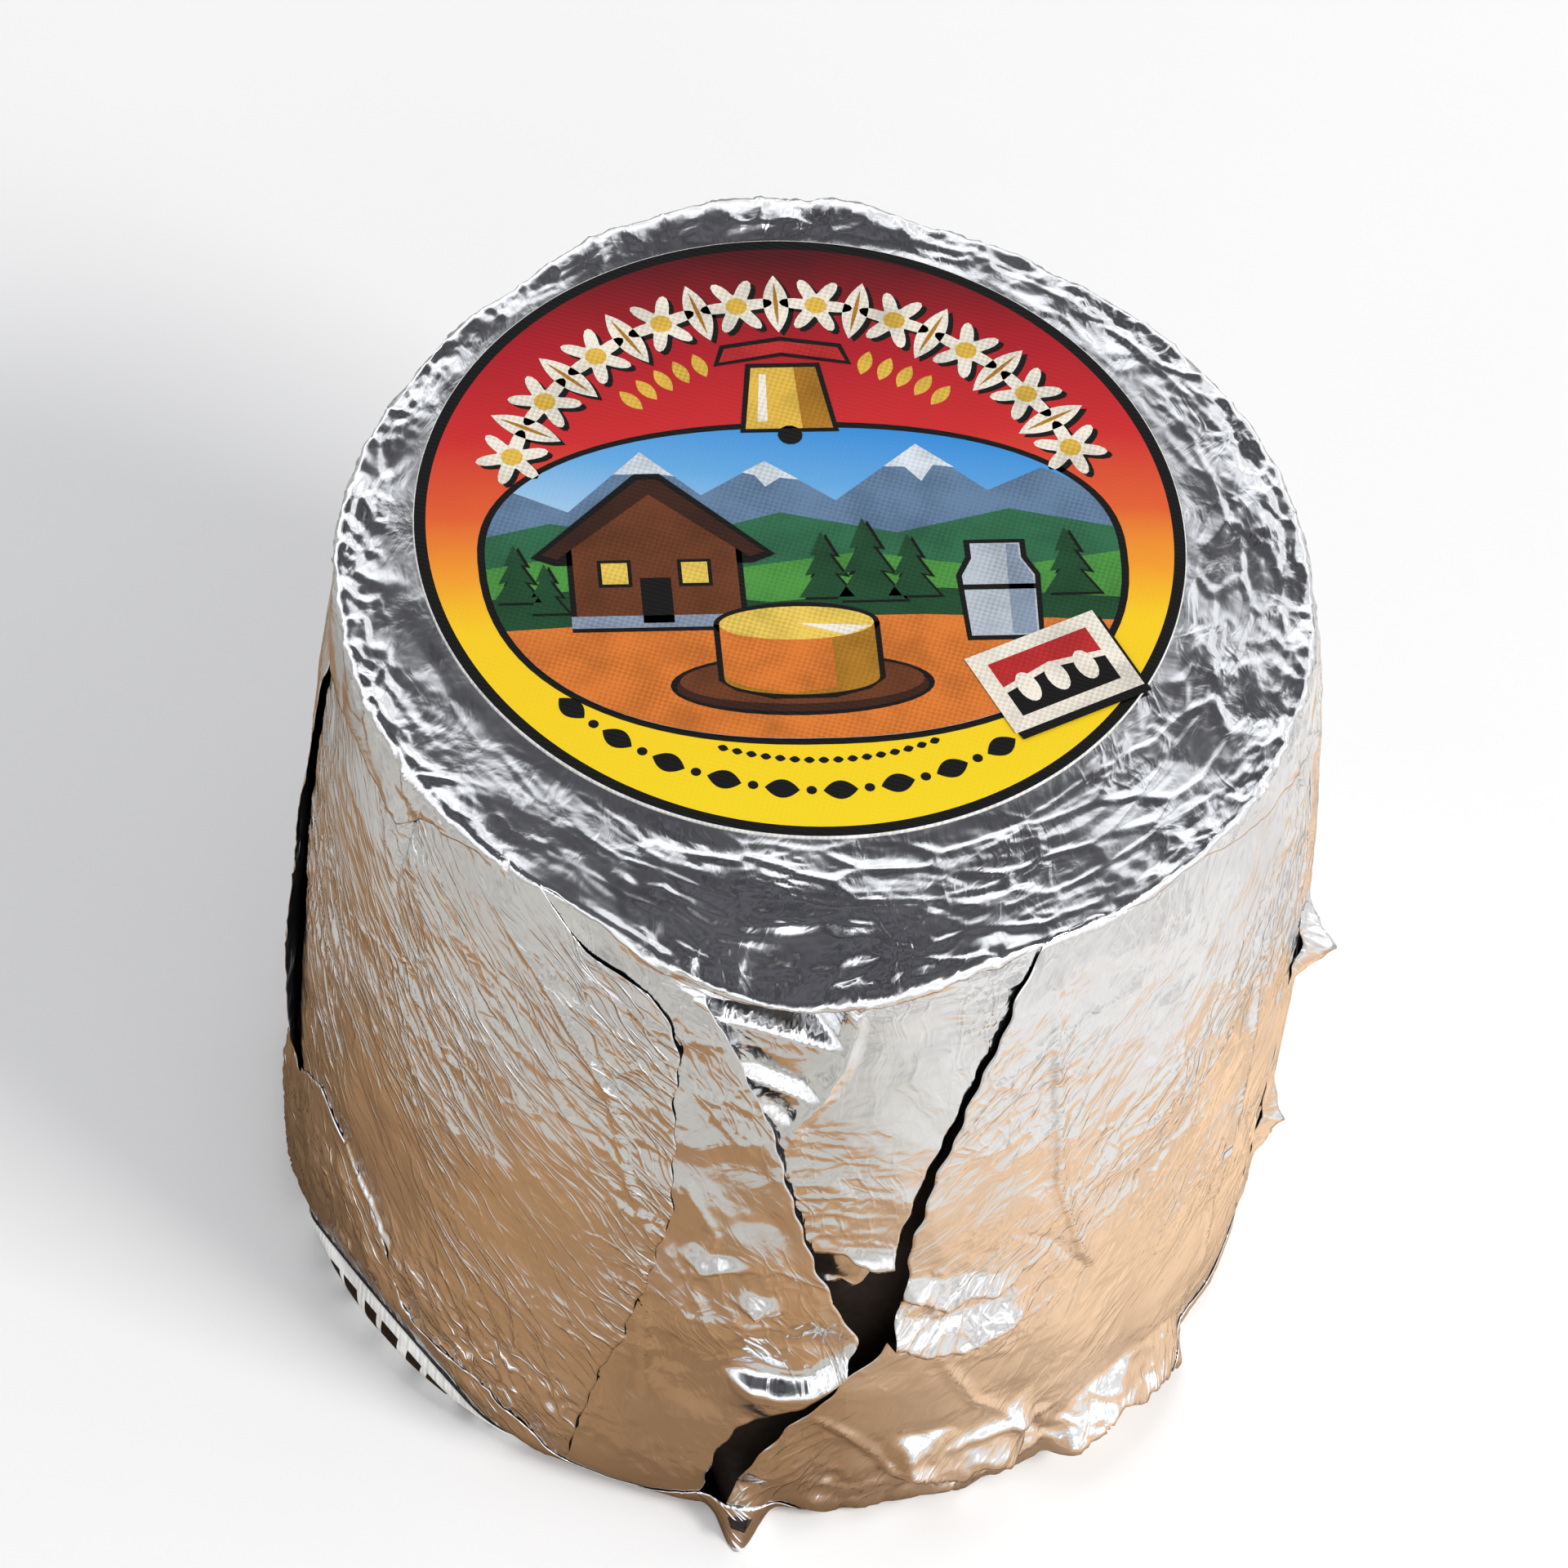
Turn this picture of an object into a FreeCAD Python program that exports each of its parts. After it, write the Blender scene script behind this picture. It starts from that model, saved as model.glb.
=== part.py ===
import FreeCAD, Part
import Mesh
import math
import os

# A small whole wheel of cheese wrapped in household aluminium foil, with a round
# paper label on top and a smaller one that laps over the bottom edge.
# Millimetres. The origin is on the wheel's axis, on the surface it stands on.
# Angles are in degrees, anticlockwise from +X seen from above; the front is at 270.

# ---- the wrapped wheel --------------------------------------------------------
WHEEL_HEIGHT = 95.3          # floor to the top of the top label
BASE_RADIUS = 53.0           # where the wall meets the bottom rounding
BULGE_RADIUS = 53.2          # widest ring of the barrel
BULGE_HEIGHT = 42.0          # height of the widest ring
RIM_RADIUS = 50.6            # where the wall meets the top rounding
BASE_ROUNDING = 5.0
RIM_ROUNDING = 2.6
LEAN = 1.3                   # the barrel is this much fuller towards +X

# ---- paper labels --------------------------------------------------------------
TOP_LABEL_BORDER = 7.8       # bare foil round the top label, if it were centred
TOP_LABEL_THICKNESS = 0.25
TOP_LABEL_OFFSET = 7.0       # stuck on off centre, by less than its border
TOP_LABEL_BEARING = 119.0
BASE_LABEL_RADIUS = 22.0
BASE_LABEL_THICKNESS = 0.2
BASE_LABEL_LAP = 11.2        # paper past the flat of the base, along the foil
BASE_LABEL_BEARING = 222.0
LABEL_CLEARANCE = 0.15       # paper to foil, where the paper is bent
LABEL_MARGIN = 6.0           # foil pressed flat this far past the paper

# ---- foil folds ----------------------------------------------------------------
EDGE_WIDTH = 0.35            # degrees taken by the step at a sheet's free edge
GAP_DEPTH = 3.0              # dark opening between the two front sheets
PLEAT_DEPTH = 1.4            # V-shaped pleat beside it
RIM_CRUMPLE = 0.7            # crushed band along the top edge
WALL_CRUMPLE = 0.22
BASE_CRUMPLE = 0.5           # gathered band along the bottom edge

TAIL_LENGTH = 4.2            # pinched ends of the front sheets, out along the floor
TAIL_BEARING = 272.2
TAIL_HALF_WIDTH = 4.0        # degrees
TAIL_HEIGHT = 8.0

ROLL_OUT = 2.2               # foil rolled up along the back of the top edge
ROLL_UP = 1.2
ROLL_BEARING = 105.0
ROLL_HALF_WIDTH = 40.0       # degrees
ROLL_SHARE = 0.10            # of the height, over which it comes out of the wall

HEM_DEPTH = 0.9              # flat turned-up hem, front right
HEM_BEARING = 314.0
HEM_HALF_WIDTH = 21.0        # degrees
HEM_HEIGHT = 7.0

# ---- mesh density --------------------------------------------------------------
COLUMN_STEP = 3.5            # degrees
WALL_ROWS = 20
ROUNDING_ROWS = 4
RIM_ROWS = 3
LABEL_STEP = 1.7             # fine enough to follow the bottom rounding

# Free edges of the foil sheets, in order round the wheel. Each run is a list of
# (share of the height, bearing) from the floor up. side is the side of the edge on
# which the sheet lies: -1 towards smaller bearings, +1 towards larger ones. lift is
# how far the edge stands off, reach the degrees over which it lies down again, and
# fins are pinched points (share of height, half length as a share, stand-off).
EDGES = {
    "left_stand": dict(
        side=-1, lift=1.4, reach=7.0,
        fins=[(0.42, 0.32, 1.4)],
        run=[(0.0, 199.0), (0.12, 197.0), (0.30, 192.0), (0.60, 189.0), (0.90, 191.0), (1.0, 192.0)]),
    "left_sheet": dict(
        side=-1, lift=0.9, reach=14.0, fins=[],
        run=[(0.0, 250.5), (0.19, 253.5), (0.33, 256.8), (0.43, 258.8), (0.57, 260.7),
             (0.76, 259.8), (0.87, 258.9), (0.92, 255.6), (0.95, 246.0), (1.0, 240.0)]),
    "front_sheet": dict(
        side=-1, lift=1.2, reach=11.0, fins=[],
        run=[(0.0, 267.6), (0.10, 268.0), (0.19, 270.7), (0.24, 275.5), (0.29, 276.5),
             (0.345, 281.8), (0.37, 283.0), (0.45, 279.8), (0.51, 277.6), (0.61, 274.5),
             (0.75, 270.8), (0.86, 266.2), (0.95, 261.3), (1.0, 259.5)]),
    "pleat": dict(
        side=+1, lift=0.7, reach=4.0, fins=[],
        run=[(0.0, 268.6), (0.10, 269.0), (0.19, 271.7), (0.24, 276.5), (0.29, 277.5),
             (0.345, 282.8), (0.37, 283.8), (0.45, 280.8), (0.51, 278.6), (0.61, 275.5),
             (0.70, 272.6), (0.75, 273.1), (0.81, 276.0), (0.86, 277.7), (0.95, 278.5),
             (1.0, 279.4)]),
    "panel": dict(
        side=-1, lift=0.5, reach=6.0, fins=[],
        run=[(0.0, 269.6), (0.10, 270.0), (0.19, 272.7), (0.24, 277.5), (0.29, 278.5),
             (0.345, 283.8), (0.37, 284.6), (0.45, 281.8), (0.475, 280.9), (0.49, 285.2),
             (0.60, 286.6), (0.71, 289.6), (0.82, 293.1), (1.0, 299.4)]),
    "right_sheet": dict(
        side=+1, lift=1.5, reach=12.0, fins=[],
        run=[(0.0, 270.8), (0.07, 271.2), (0.11, 272.2), (0.20, 276.4), (0.28, 281.2),
             (0.36, 286.2), (0.48, 287.6), (0.53, 287.7), (0.60, 288.5), (0.75, 291.7),
             (0.83, 294.0), (0.92, 296.8), (1.0, 300.4)]),
    "right_seam": dict(
        side=+1, lift=0.4, reach=9.0,
        fins=[(0.58, 0.06, 4.2), (0.31, 0.08, 1.7)],
        run=[(0.0, 349.0), (0.24, 345.0), (0.40, 345.5), (0.55, 349.0), (0.66, 351.0), (1.0, 353.0)]),
    "back_right_sheet": dict(
        side=-1, lift=1.1, reach=12.0, fins=[],
        run=[(0.0, 378.0), (0.30, 383.0), (0.65, 392.0), (0.90, 397.0), (1.0, 399.0)]),
    "back_sheet": dict(
        side=+1, lift=1.0, reach=11.0,
        fins=[(0.30, 0.10, 1.6)],
        run=[(0.0, 441.0), (0.22, 437.0), (0.50, 432.0), (0.80, 428.0), (1.0, 424.0)]),
    "back_left_sheet": dict(
        side=-1, lift=1.0, reach=12.0, fins=[],
        run=[(0.0, 489.0), (0.25, 494.0), (0.55, 497.0), (0.85, 490.0), (1.0, 487.0)]),
}
GAP_BETWEEN = ("panel", "right_sheet")
PLEAT_BETWEEN = ("front_sheet", "pleat")
PLEAT_FOOT = 0.70            # share of the height where the pleat closes
FIN_REACH = 2.4              # degrees


def clamp(value, low=0.0, high=1.0):
    return min(max(value, low), high)


def hump(value, centre, half_width):
    """1 at the centre, 0 from half_width away, smooth between."""
    away = abs(value - centre) / half_width
    return 0.5 + 0.5 * math.cos(math.pi * clamp(away))


def zigzag(value):
    """Triangle wave between -1 and 1, one period per unit: creases, not ripples."""
    return 4.0 * abs(value - math.floor(value + 0.5)) - 1.0


def run_at(run, share):
    """Bearing of an edge at a share of the height."""
    for (low, at_low), (high, at_high) in zip(run, run[1:]):
        if share <= high:
            return at_low + (at_high - at_low) * clamp((share - low) / (high - low))
    return run[-1][1]


# ---- the barrel's outline --------------------------------------------------------
TOP_Z = WHEEL_HEIGHT - TOP_LABEL_THICKNESS
FLOOR_RADIUS = BASE_RADIUS - BASE_ROUNDING
TOP_RADIUS = RIM_RADIUS - RIM_ROUNDING
TOP_LABEL_RADIUS = TOP_RADIUS - TOP_LABEL_BORDER
BASE_LABEL_OFFSET = FLOOR_RADIUS + BASE_LABEL_LAP - BASE_LABEL_RADIUS
LABEL_RINGS = math.ceil(BASE_LABEL_RADIUS / LABEL_STEP)
LABEL_SPOKES = math.ceil(2.0 * math.pi * BASE_LABEL_RADIUS / LABEL_STEP)
WALL_LOW = BASE_ROUNDING
WALL_HIGH = TOP_Z - RIM_ROUNDING


def wall_radius(z):
    """Smooth barrel radius between the two roundings."""
    if z < BULGE_HEIGHT:
        away = (BULGE_HEIGHT - z) / (BULGE_HEIGHT - WALL_LOW)
        return BULGE_RADIUS - (BULGE_RADIUS - BASE_RADIUS) * away ** 2
    away = (z - BULGE_HEIGHT) / (WALL_HIGH - BULGE_HEIGHT)
    return BULGE_RADIUS - (BULGE_RADIUS - RIM_RADIUS) * away ** 2


def outline():
    """Rows from the floor up: radius, height, how much of the folds and of the roll shows."""
    rows = []
    for i in range(ROUNDING_ROWS):
        turn = 0.5 * math.pi * i / ROUNDING_ROWS
        radius = FLOOR_RADIUS + BASE_ROUNDING * math.sin(turn)
        rows.append((radius, BASE_ROUNDING * (1.0 - math.cos(turn)), math.sin(turn), 0.0))
    for i in range(WALL_ROWS + 1):
        z = WALL_LOW + (WALL_HIGH - WALL_LOW) * i / WALL_ROWS
        rows.append((wall_radius(z), z, 1.0, 0.0))
    for i in range(1, RIM_ROWS + 1):
        turn = 0.5 * math.pi * i / RIM_ROWS
        radius = TOP_RADIUS + RIM_ROUNDING * math.cos(turn)
        z = WALL_HIGH + RIM_ROUNDING * math.sin(turn)
        rows.append((radius, z, math.cos(turn), math.sin(2.0 * turn)))
    return rows


# ---- folds ---------------------------------------------------------------------
def turn_after(bearing, start):
    """The bearing's distance past start, between -180 and 180."""
    return (bearing - start + 180.0) % 360.0 - 180.0


def sheets(bearing, share):
    """How far the lifted sheet edges stand off the barrel."""
    total = 0.0
    for edge in EDGES.values():
        behind = turn_after(bearing, run_at(edge["run"], share)) * edge["side"]
        if behind < 0.0:
            continue
        total += edge["lift"] * (1.0 - clamp(behind / edge["reach"])) ** 2
        for centre, half_length, height in edge["fins"]:
            point = clamp(1.0 - abs(share - centre) / half_length)
            total += height * point * clamp(1.0 - behind / FIN_REACH)
    return total


def between(bearing, share, names):
    """Place across the strip between two edges, 0 to 1, or None outside it."""
    low, high = [run_at(EDGES[name]["run"], share) for name in names]
    across = turn_after(bearing, low) / max(high - low, 0.01)
    return across if 0.0 < across < 1.0 else None


def hollows(bearing, share):
    """Depth of the gap between the front sheets and of the pleat beside it."""
    depth = 0.0
    if between(bearing, share, GAP_BETWEEN) is not None:
        depth += GAP_DEPTH
    across = between(bearing, share, PLEAT_BETWEEN)
    if across is not None and share > PLEAT_FOOT:
        depth += PLEAT_DEPTH * math.sin(math.pi * across) ** 0.5
    return depth


def crumple(bearing, share):
    """Small flat-sided creases: strong at the rim and the bottom edge."""
    turn = bearing / 360.0
    slanted = zigzag(31.0 * turn + 2.3 * share) * zigzag(13.0 * turn - 5.1 * share)
    crossing = zigzag(19.0 * turn - 3.7 * share + 0.4 * zigzag(7.0 * turn))
    rim = hump(share, 1.0, 0.12) * RIM_CRUMPLE
    base = hump(share, 0.04, 0.10) * BASE_CRUMPLE
    return (WALL_CRUMPLE + rim + base) * (0.6 * slanted + 0.4 * crossing)


def hem(bearing, z):
    """The turned-up hem at the front right."""
    return HEM_DEPTH * hump(bearing, HEM_BEARING, HEM_HALF_WIDTH) * hump(z, 0.5 * HEM_HEIGHT, HEM_HEIGHT)


def drawn_to_tail(radius, bearing, z):
    """The radius, drawn out along the floor where the front sheets are pinched."""
    pull = hump(bearing, TAIL_BEARING, TAIL_HALF_WIDTH) * clamp(1.0 - z / TAIL_HEIGHT)
    return radius + pull * (BASE_RADIUS + TAIL_LENGTH - radius)


def under_label(bearing, arc):
    """1 under the bottom label and its margin, falling to 0 over another margin.

    arc is the distance from the wheel's axis, measured along the foil."""
    away = math.radians(bearing - BASE_LABEL_BEARING)
    across = arc * math.sin(away)
    along = arc * math.cos(away) - BASE_LABEL_OFFSET
    past = math.hypot(across, along) - BASE_LABEL_RADIUS
    return 1.0 - clamp(past / LABEL_MARGIN - 1.0)


def arc_to_row(z):
    """Distance along the foil from the wheel's axis to a height on the wall."""
    if z >= WALL_LOW:
        return FLOOR_RADIUS + 0.5 * math.pi * BASE_ROUNDING + z - WALL_LOW
    return FLOOR_RADIUS + BASE_ROUNDING * math.acos(1.0 - z / BASE_ROUNDING)


def stand_off(bearing, z):
    """Radial distance of the foil from the smooth barrel."""
    share = z / TOP_Z
    lean = LEAN * math.cos(math.radians(bearing)) * math.sin(math.pi * clamp(share))
    folds = sheets(bearing, share) - hollows(bearing, share) + crumple(bearing, share)
    bare = 1.0 - under_label(bearing, arc_to_row(z))
    roll = ROLL_OUT * hump(bearing, ROLL_BEARING, ROLL_HALF_WIDTH) * hump(share, 1.0, ROLL_SHARE)
    return lean + folds * bare + hem(bearing, z) + roll


# ---- columns -------------------------------------------------------------------
def column_plan():
    """Columns round the wheel: each is (edge before, edge after, share between)."""
    names = list(EDGES)
    plan = []
    for name, following in zip(names, names[1:] + names[:1]):
        width = turn_width(name, following, 0.5)
        widest = max(turn_width(name, following, share / 10.0) for share in range(11))
        steps = max(2, round(0.5 * (width + widest) / COLUMN_STEP))
        plan += [(name, following, i / steps) for i in range(steps + 1)]
    return plan


def turn_width(name, following, share):
    width = run_at(EDGES[following]["run"], share) - run_at(EDGES[name]["run"], share)
    return width % 360.0


def column_bearing(column, share):
    name, following, part = column
    start = run_at(EDGES[name]["run"], share) + 0.5 * EDGE_WIDTH
    width = turn_width(name, following, share) - EDGE_WIDTH
    return start + width * part


def at(radius, bearing, z):
    turn = math.radians(bearing)
    return FreeCAD.Vector(radius * math.cos(turn), radius * math.sin(turn), z)


def foil_grid():
    """Rings of points from the floor to the top, one ring per row."""
    columns = column_plan()
    grid = []
    for radius, z, shown, rolled in outline():
        ring = []
        for column in columns:
            bearing = column_bearing(column, z / TOP_Z) % 360.0
            folded = radius + shown * stand_off(bearing, z)
            rise = rolled * ROLL_UP * hump(bearing, ROLL_BEARING, ROLL_HALF_WIDTH)
            ring.append(at(drawn_to_tail(folded, bearing, z), bearing, z + rise))
        grid.append(ring)
    return grid


def triangles_of(grid):
    """Skin between the rings, closed by flat fans at the bottom and the top."""
    faces = []
    count = len(grid[0])
    for low, high in zip(grid, grid[1:]):
        for i in range(count):
            j = (i + 1) % count
            faces.append((low[i], low[j], high[j]))
            faces.append((low[i], high[j], high[i]))
    bottom = FreeCAD.Vector(0.0, 0.0, grid[0][0].z)
    top = FreeCAD.Vector(0.0, 0.0, grid[-1][0].z)
    for i in range(count):
        j = (i + 1) % count
        faces.append((bottom, grid[0][j], grid[0][i]))
        faces.append((top, grid[-1][i], grid[-1][j]))
    return faces


def solid_of(faces):
    shape = Part.Shape()
    shape.makeShapeFromMesh(Mesh.Mesh(faces).Topology, 0.001)
    return Part.makeSolid(shape).removeSplitter()


def base_label_centre():
    return at(BASE_LABEL_OFFSET, BASE_LABEL_BEARING, 0.0)


def base_label_pocket():
    """The flat the bottom label lies in, so that paper and foil share the floor."""
    seat = base_label_centre() - FreeCAD.Vector(0.0, 0.0, BASE_LABEL_THICKNESS)
    return Part.makeCylinder(BASE_LABEL_RADIUS + LABEL_CLEARANCE, 2.0 * BASE_LABEL_THICKNESS, seat)


def foil_wheel():
    wrapped = solid_of(triangles_of(foil_grid()))
    return wrapped.cut(base_label_pocket())


# ---- labels --------------------------------------------------------------------
def top_label():
    seat = at(TOP_LABEL_OFFSET, TOP_LABEL_BEARING, TOP_Z)
    return Part.makeCylinder(TOP_LABEL_RADIUS, TOP_LABEL_THICKNESS, seat)


def off_the_foil(bearing, arc, lift, lowest):
    """A point off the smooth foil, arc millimetres from the axis along the foil."""
    turn = clamp((arc - FLOOR_RADIUS) / BASE_ROUNDING, 0.0, 0.5 * math.pi)
    up_the_wall = max(arc - FLOOR_RADIUS - 0.5 * math.pi * BASE_ROUNDING, 0.0)
    z = BASE_ROUNDING * (1.0 - math.cos(turn)) + up_the_wall
    radius = min(arc, FLOOR_RADIUS) + BASE_ROUNDING * math.sin(turn)
    if up_the_wall > 0.0:
        radius = wall_radius(z)
    radius += math.sin(turn) * (stand_off(bearing % 360.0, z) + lift)
    return at(radius, bearing, max(z - math.cos(turn) * lift, lowest))


def label_skin(lift, lowest):
    """Rings of one face of the bottom label, from its centre out."""
    centre = base_label_centre()
    rings = []
    for i in range(LABEL_RINGS + 1):
        reach = BASE_LABEL_RADIUS * i / LABEL_RINGS
        ring = []
        for j in range(LABEL_SPOKES):
            spot = centre + at(reach, 360.0 * j / LABEL_SPOKES, 0.0)
            bearing = math.degrees(math.atan2(spot.y, spot.x))
            ring.append(off_the_foil(bearing, math.hypot(spot.x, spot.y), lift, lowest))
        rings.append(ring)
    return rings


def base_label():
    outer = label_skin(LABEL_CLEARANCE + BASE_LABEL_THICKNESS, 0.0)
    inner = label_skin(LABEL_CLEARANCE, BASE_LABEL_THICKNESS)
    faces = []
    for i in range(LABEL_SPOKES):
        j = (i + 1) % LABEL_SPOKES
        faces.append((outer[0][0], outer[1][j], outer[1][i]))
        faces.append((inner[0][0], inner[1][i], inner[1][j]))
        for low, high in zip(outer[1:], outer[2:]):
            faces.append((low[i], high[j], high[i]))
            faces.append((low[i], low[j], high[j]))
        for low, high in zip(inner[1:], inner[2:]):
            faces.append((low[i], high[i], high[j]))
            faces.append((low[i], high[j], low[j]))
        faces.append((outer[-1][i], outer[-1][j], inner[-1][j]))
        faces.append((outer[-1][i], inner[-1][j], inner[-1][i]))
    return solid_of(faces)


PARTS = {"foil_wheel": foil_wheel, "top_label": top_label, "base_label": base_label}

if __name__ == "__main__":
    os.makedirs("parts", exist_ok=True)
    for name, make in PARTS.items():
        shape = make()
        print(name, shape.isValid(), len(shape.Faces), round(shape.Volume / 1000.0, 2), shape.BoundBox)
        shape.exportStep("parts/" + name + ".step")
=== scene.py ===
import math

import bmesh
import bpy
import numpy as np
from mathutils import Matrix, Vector


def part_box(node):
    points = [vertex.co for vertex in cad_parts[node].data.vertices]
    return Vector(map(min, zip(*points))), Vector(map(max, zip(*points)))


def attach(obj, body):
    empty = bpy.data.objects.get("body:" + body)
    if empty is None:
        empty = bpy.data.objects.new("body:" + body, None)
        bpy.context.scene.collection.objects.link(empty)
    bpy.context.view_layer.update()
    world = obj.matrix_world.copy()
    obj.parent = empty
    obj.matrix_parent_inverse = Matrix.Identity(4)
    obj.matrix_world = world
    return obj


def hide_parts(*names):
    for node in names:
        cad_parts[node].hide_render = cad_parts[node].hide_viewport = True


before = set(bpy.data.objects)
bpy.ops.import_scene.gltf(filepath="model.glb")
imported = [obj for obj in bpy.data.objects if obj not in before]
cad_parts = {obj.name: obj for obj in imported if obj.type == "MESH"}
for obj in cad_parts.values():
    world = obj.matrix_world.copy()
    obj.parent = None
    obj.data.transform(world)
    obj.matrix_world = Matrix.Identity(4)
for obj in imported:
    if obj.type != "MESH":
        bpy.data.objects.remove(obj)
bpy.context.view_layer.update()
TOP_LABEL_LOW, TOP_LABEL_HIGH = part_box("top_label")
TOP_LABEL_CENTRE = (TOP_LABEL_LOW + TOP_LABEL_HIGH) / 2.0
TOP_LABEL_RADIUS = (TOP_LABEL_HIGH.x - TOP_LABEL_LOW.x) / 2.0
MM = 0.001

bl_info = {
    "name": "Foil-wrapped cheese wheel",
    "version": (1, 0, 0),
    "blender": (4, 5, 0),
    "location": "View3D > Sidebar > Cheese",
    "description": "A small cheese wheel in crumpled foil with printed paper labels",
    "category": "Object",
}


# ---- settings --------------------------------------------------------------------
def length(label, text, default_mm):
    """A size the user may change, given here in millimetres."""
    return bpy.props.FloatProperty(
        name=label, description=text, default=default_mm * MM, precision=5, unit="LENGTH")


def number(label, text, default):
    """A plain number the user may change."""
    return bpy.props.FloatProperty(name=label, description=text, default=default)


def angle(label, text, default_degrees):
    """A turn the user may change, given here in degrees."""
    return bpy.props.FloatProperty(
        name=label, description=text, default=math.radians(default_degrees), unit="ROTATION")


def colour(label, text, code):
    """A colour the user may change, given here as an sRGB hex code."""
    return bpy.props.FloatVectorProperty(
        name=label, description=text, default=linear(code), size=4, min=0.0, max=1.0, subtype="COLOR")


def linear(code):
    """An sRGB hex colour as linear red, green, blue and alpha."""
    parts = [int(code[i:i + 2], 16) / 255.0 for i in (1, 3, 5)]
    return tuple(p / 12.92 if p <= 0.04045 else ((p + 0.055) / 1.055) ** 2.4 for p in parts) + (1.0,)


class WheelSettings(bpy.types.PropertyGroup):
    base_radius: length("Base radius", "Where the wall meets the bottom rounding", 53.0)
    bulge_radius: length("Bulge radius", "Widest ring of the barrel", 53.2)
    bulge_height: length("Bulge height", "Height of the widest ring", 42.0)
    rim_radius: length("Rim radius", "Where the wall meets the top rounding", 50.6)
    base_rounding: length("Base rounding", "Radius of the bottom edge", 5.0)
    rim_rounding: length("Rim rounding", "Radius of the top edge", 0.7)
    lean: length("Lean", "The barrel is this much fuller towards +X", 1.3)
    tail_length: length("Tail length", "Pinched foil drawn out along the floor", 4.2)
    roll_out: length("Roll out", "How far the foil rolled up at the back stands out", 2.2)
    roll_up: length("Roll up", "How high the foil rolled up at the back stands", 1.2)
    hem_depth: length("Hem depth", "Turned-up hem at the front right", 0.9)
    front_lip: length("Front lip", "How far the foil rolled over the rim at the front stands out", 1.5)


class FoilSettings(bpy.types.PropertyGroup):
    step: length("Grid step", "Spacing of the foil's mesh", 0.36)
    thickness: length("Thickness", "Foil, drawn thick enough to show at a free edge", 0.07)
    rind_inset: length("Rind inset", "Cheese rind below the smooth barrel", 3.4)
    bright: colour("Foil", "Bare aluminium", "#E4E5E7")
    # The rind's near-black brown is partly its own colour and partly painted shade for the dark opening
    # between the front sheets.
    rind: colour("Rind", "Washed brown rind that shows through the opening", "#2A1A10")
    roughness: number("Roughness", "Gloss of the foil between its creases", 0.15)


class LabelSettings(bpy.types.PropertyGroup):
    turn: angle("Turn", "The top label is stuck on this far round", 10.0)
    ring_width: length("Ring width", "Black ring round the picture", 1.2)
    white_edge: length("White edge", "Bare paper outside the ring", 0.12)
    ink: length("Ink step", "Height of one printed layer over the next", 0.012)
    weave: length("Weave", "Thread spacing of the linen emboss", 0.55)
    base_radius: length("Base label radius", "Size of the label under the base", 22.0)
    base_lap: length("Base label lap", "Paper past the flat of the base, along the foil", 11.2)
    base_bearing: angle("Base label bearing", "Side on which the base label laps", 222.0)


class StageSettings(bpy.types.PropertyGroup):
    floor: colour("Floor", "Plain pale floor", "#FAFAFA")
    # The card's colours come in shaded and lit copies: card and far_card for the shaded side, and the lit
    # copies painted lighter on the side of the window, which is painted light.
    card: colour("Card", "Warm card that only the foil's reflections see", "#BB8F62")
    card_painted_light: colour("Lit card", "The same card on the side of the window", "#F8D2AC")
    far_card: colour("Far card", "Pale outer part of the card", "#D9D6CE")
    far_card_painted_light: colour("Lit far card", "Its outer part on the side of the window", "#F8F5F1")
    card_radius: length("Card radius", "Reach of the warm card round the wheel", 106.0)
    distance: length("Camera distance", "From the point it looks at", 986.0)
    elevation: angle("Camera elevation", "Height above the horizon", 51.458)
    roll: angle("Camera roll", "Tilt of the camera", 6.625)
    lens: number("Lens", "Focal length in millimetres on a 36 mm sensor", 209.71)
    aim: bpy.props.FloatVectorProperty(
        name="Aim", description="Point the camera looks at", default=(-0.00208, 0.01044, 0.04776),
        subtype="TRANSLATION", unit="LENGTH")


class InMillimetres:
    """A settings group's values, with its lengths in millimetres."""

    def __init__(self, group):
        for key, prop in group.bl_rna.properties.items():
            if prop.type == "FLOAT" and not prop.is_array:
                value = getattr(group, key)
                setattr(self, key, value / MM if prop.unit == "LENGTH" else value)


# ---- lines on the foil ------------------------------------------------------------------
# Bearings are in degrees, anticlockwise from +X seen from above, with the front at 270.
# Tables that run once round the wheel start and end at BACK_SEAM.
BACK_SEAM = -200.0

# The wall's radius and its millimetres to a degree, near enough for patterns and reaches.
WALL_RADIUS = 52.0
WALL_MM_PER_DEGREE = 0.92

# Bearing and half width of the roll at the back, the hem, the rolled lip and the tail.
ROLL_AT = (105.0, 40.0)
HEM_AT = (314.0, 21.0)
FRONT_LIP_AT = (271.0, 21.0)
TAIL_AT = (272.4, 4.8)

# How far up the wall the foil is drawn out into the tail.
TAIL_HEIGHT = 8.0

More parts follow.
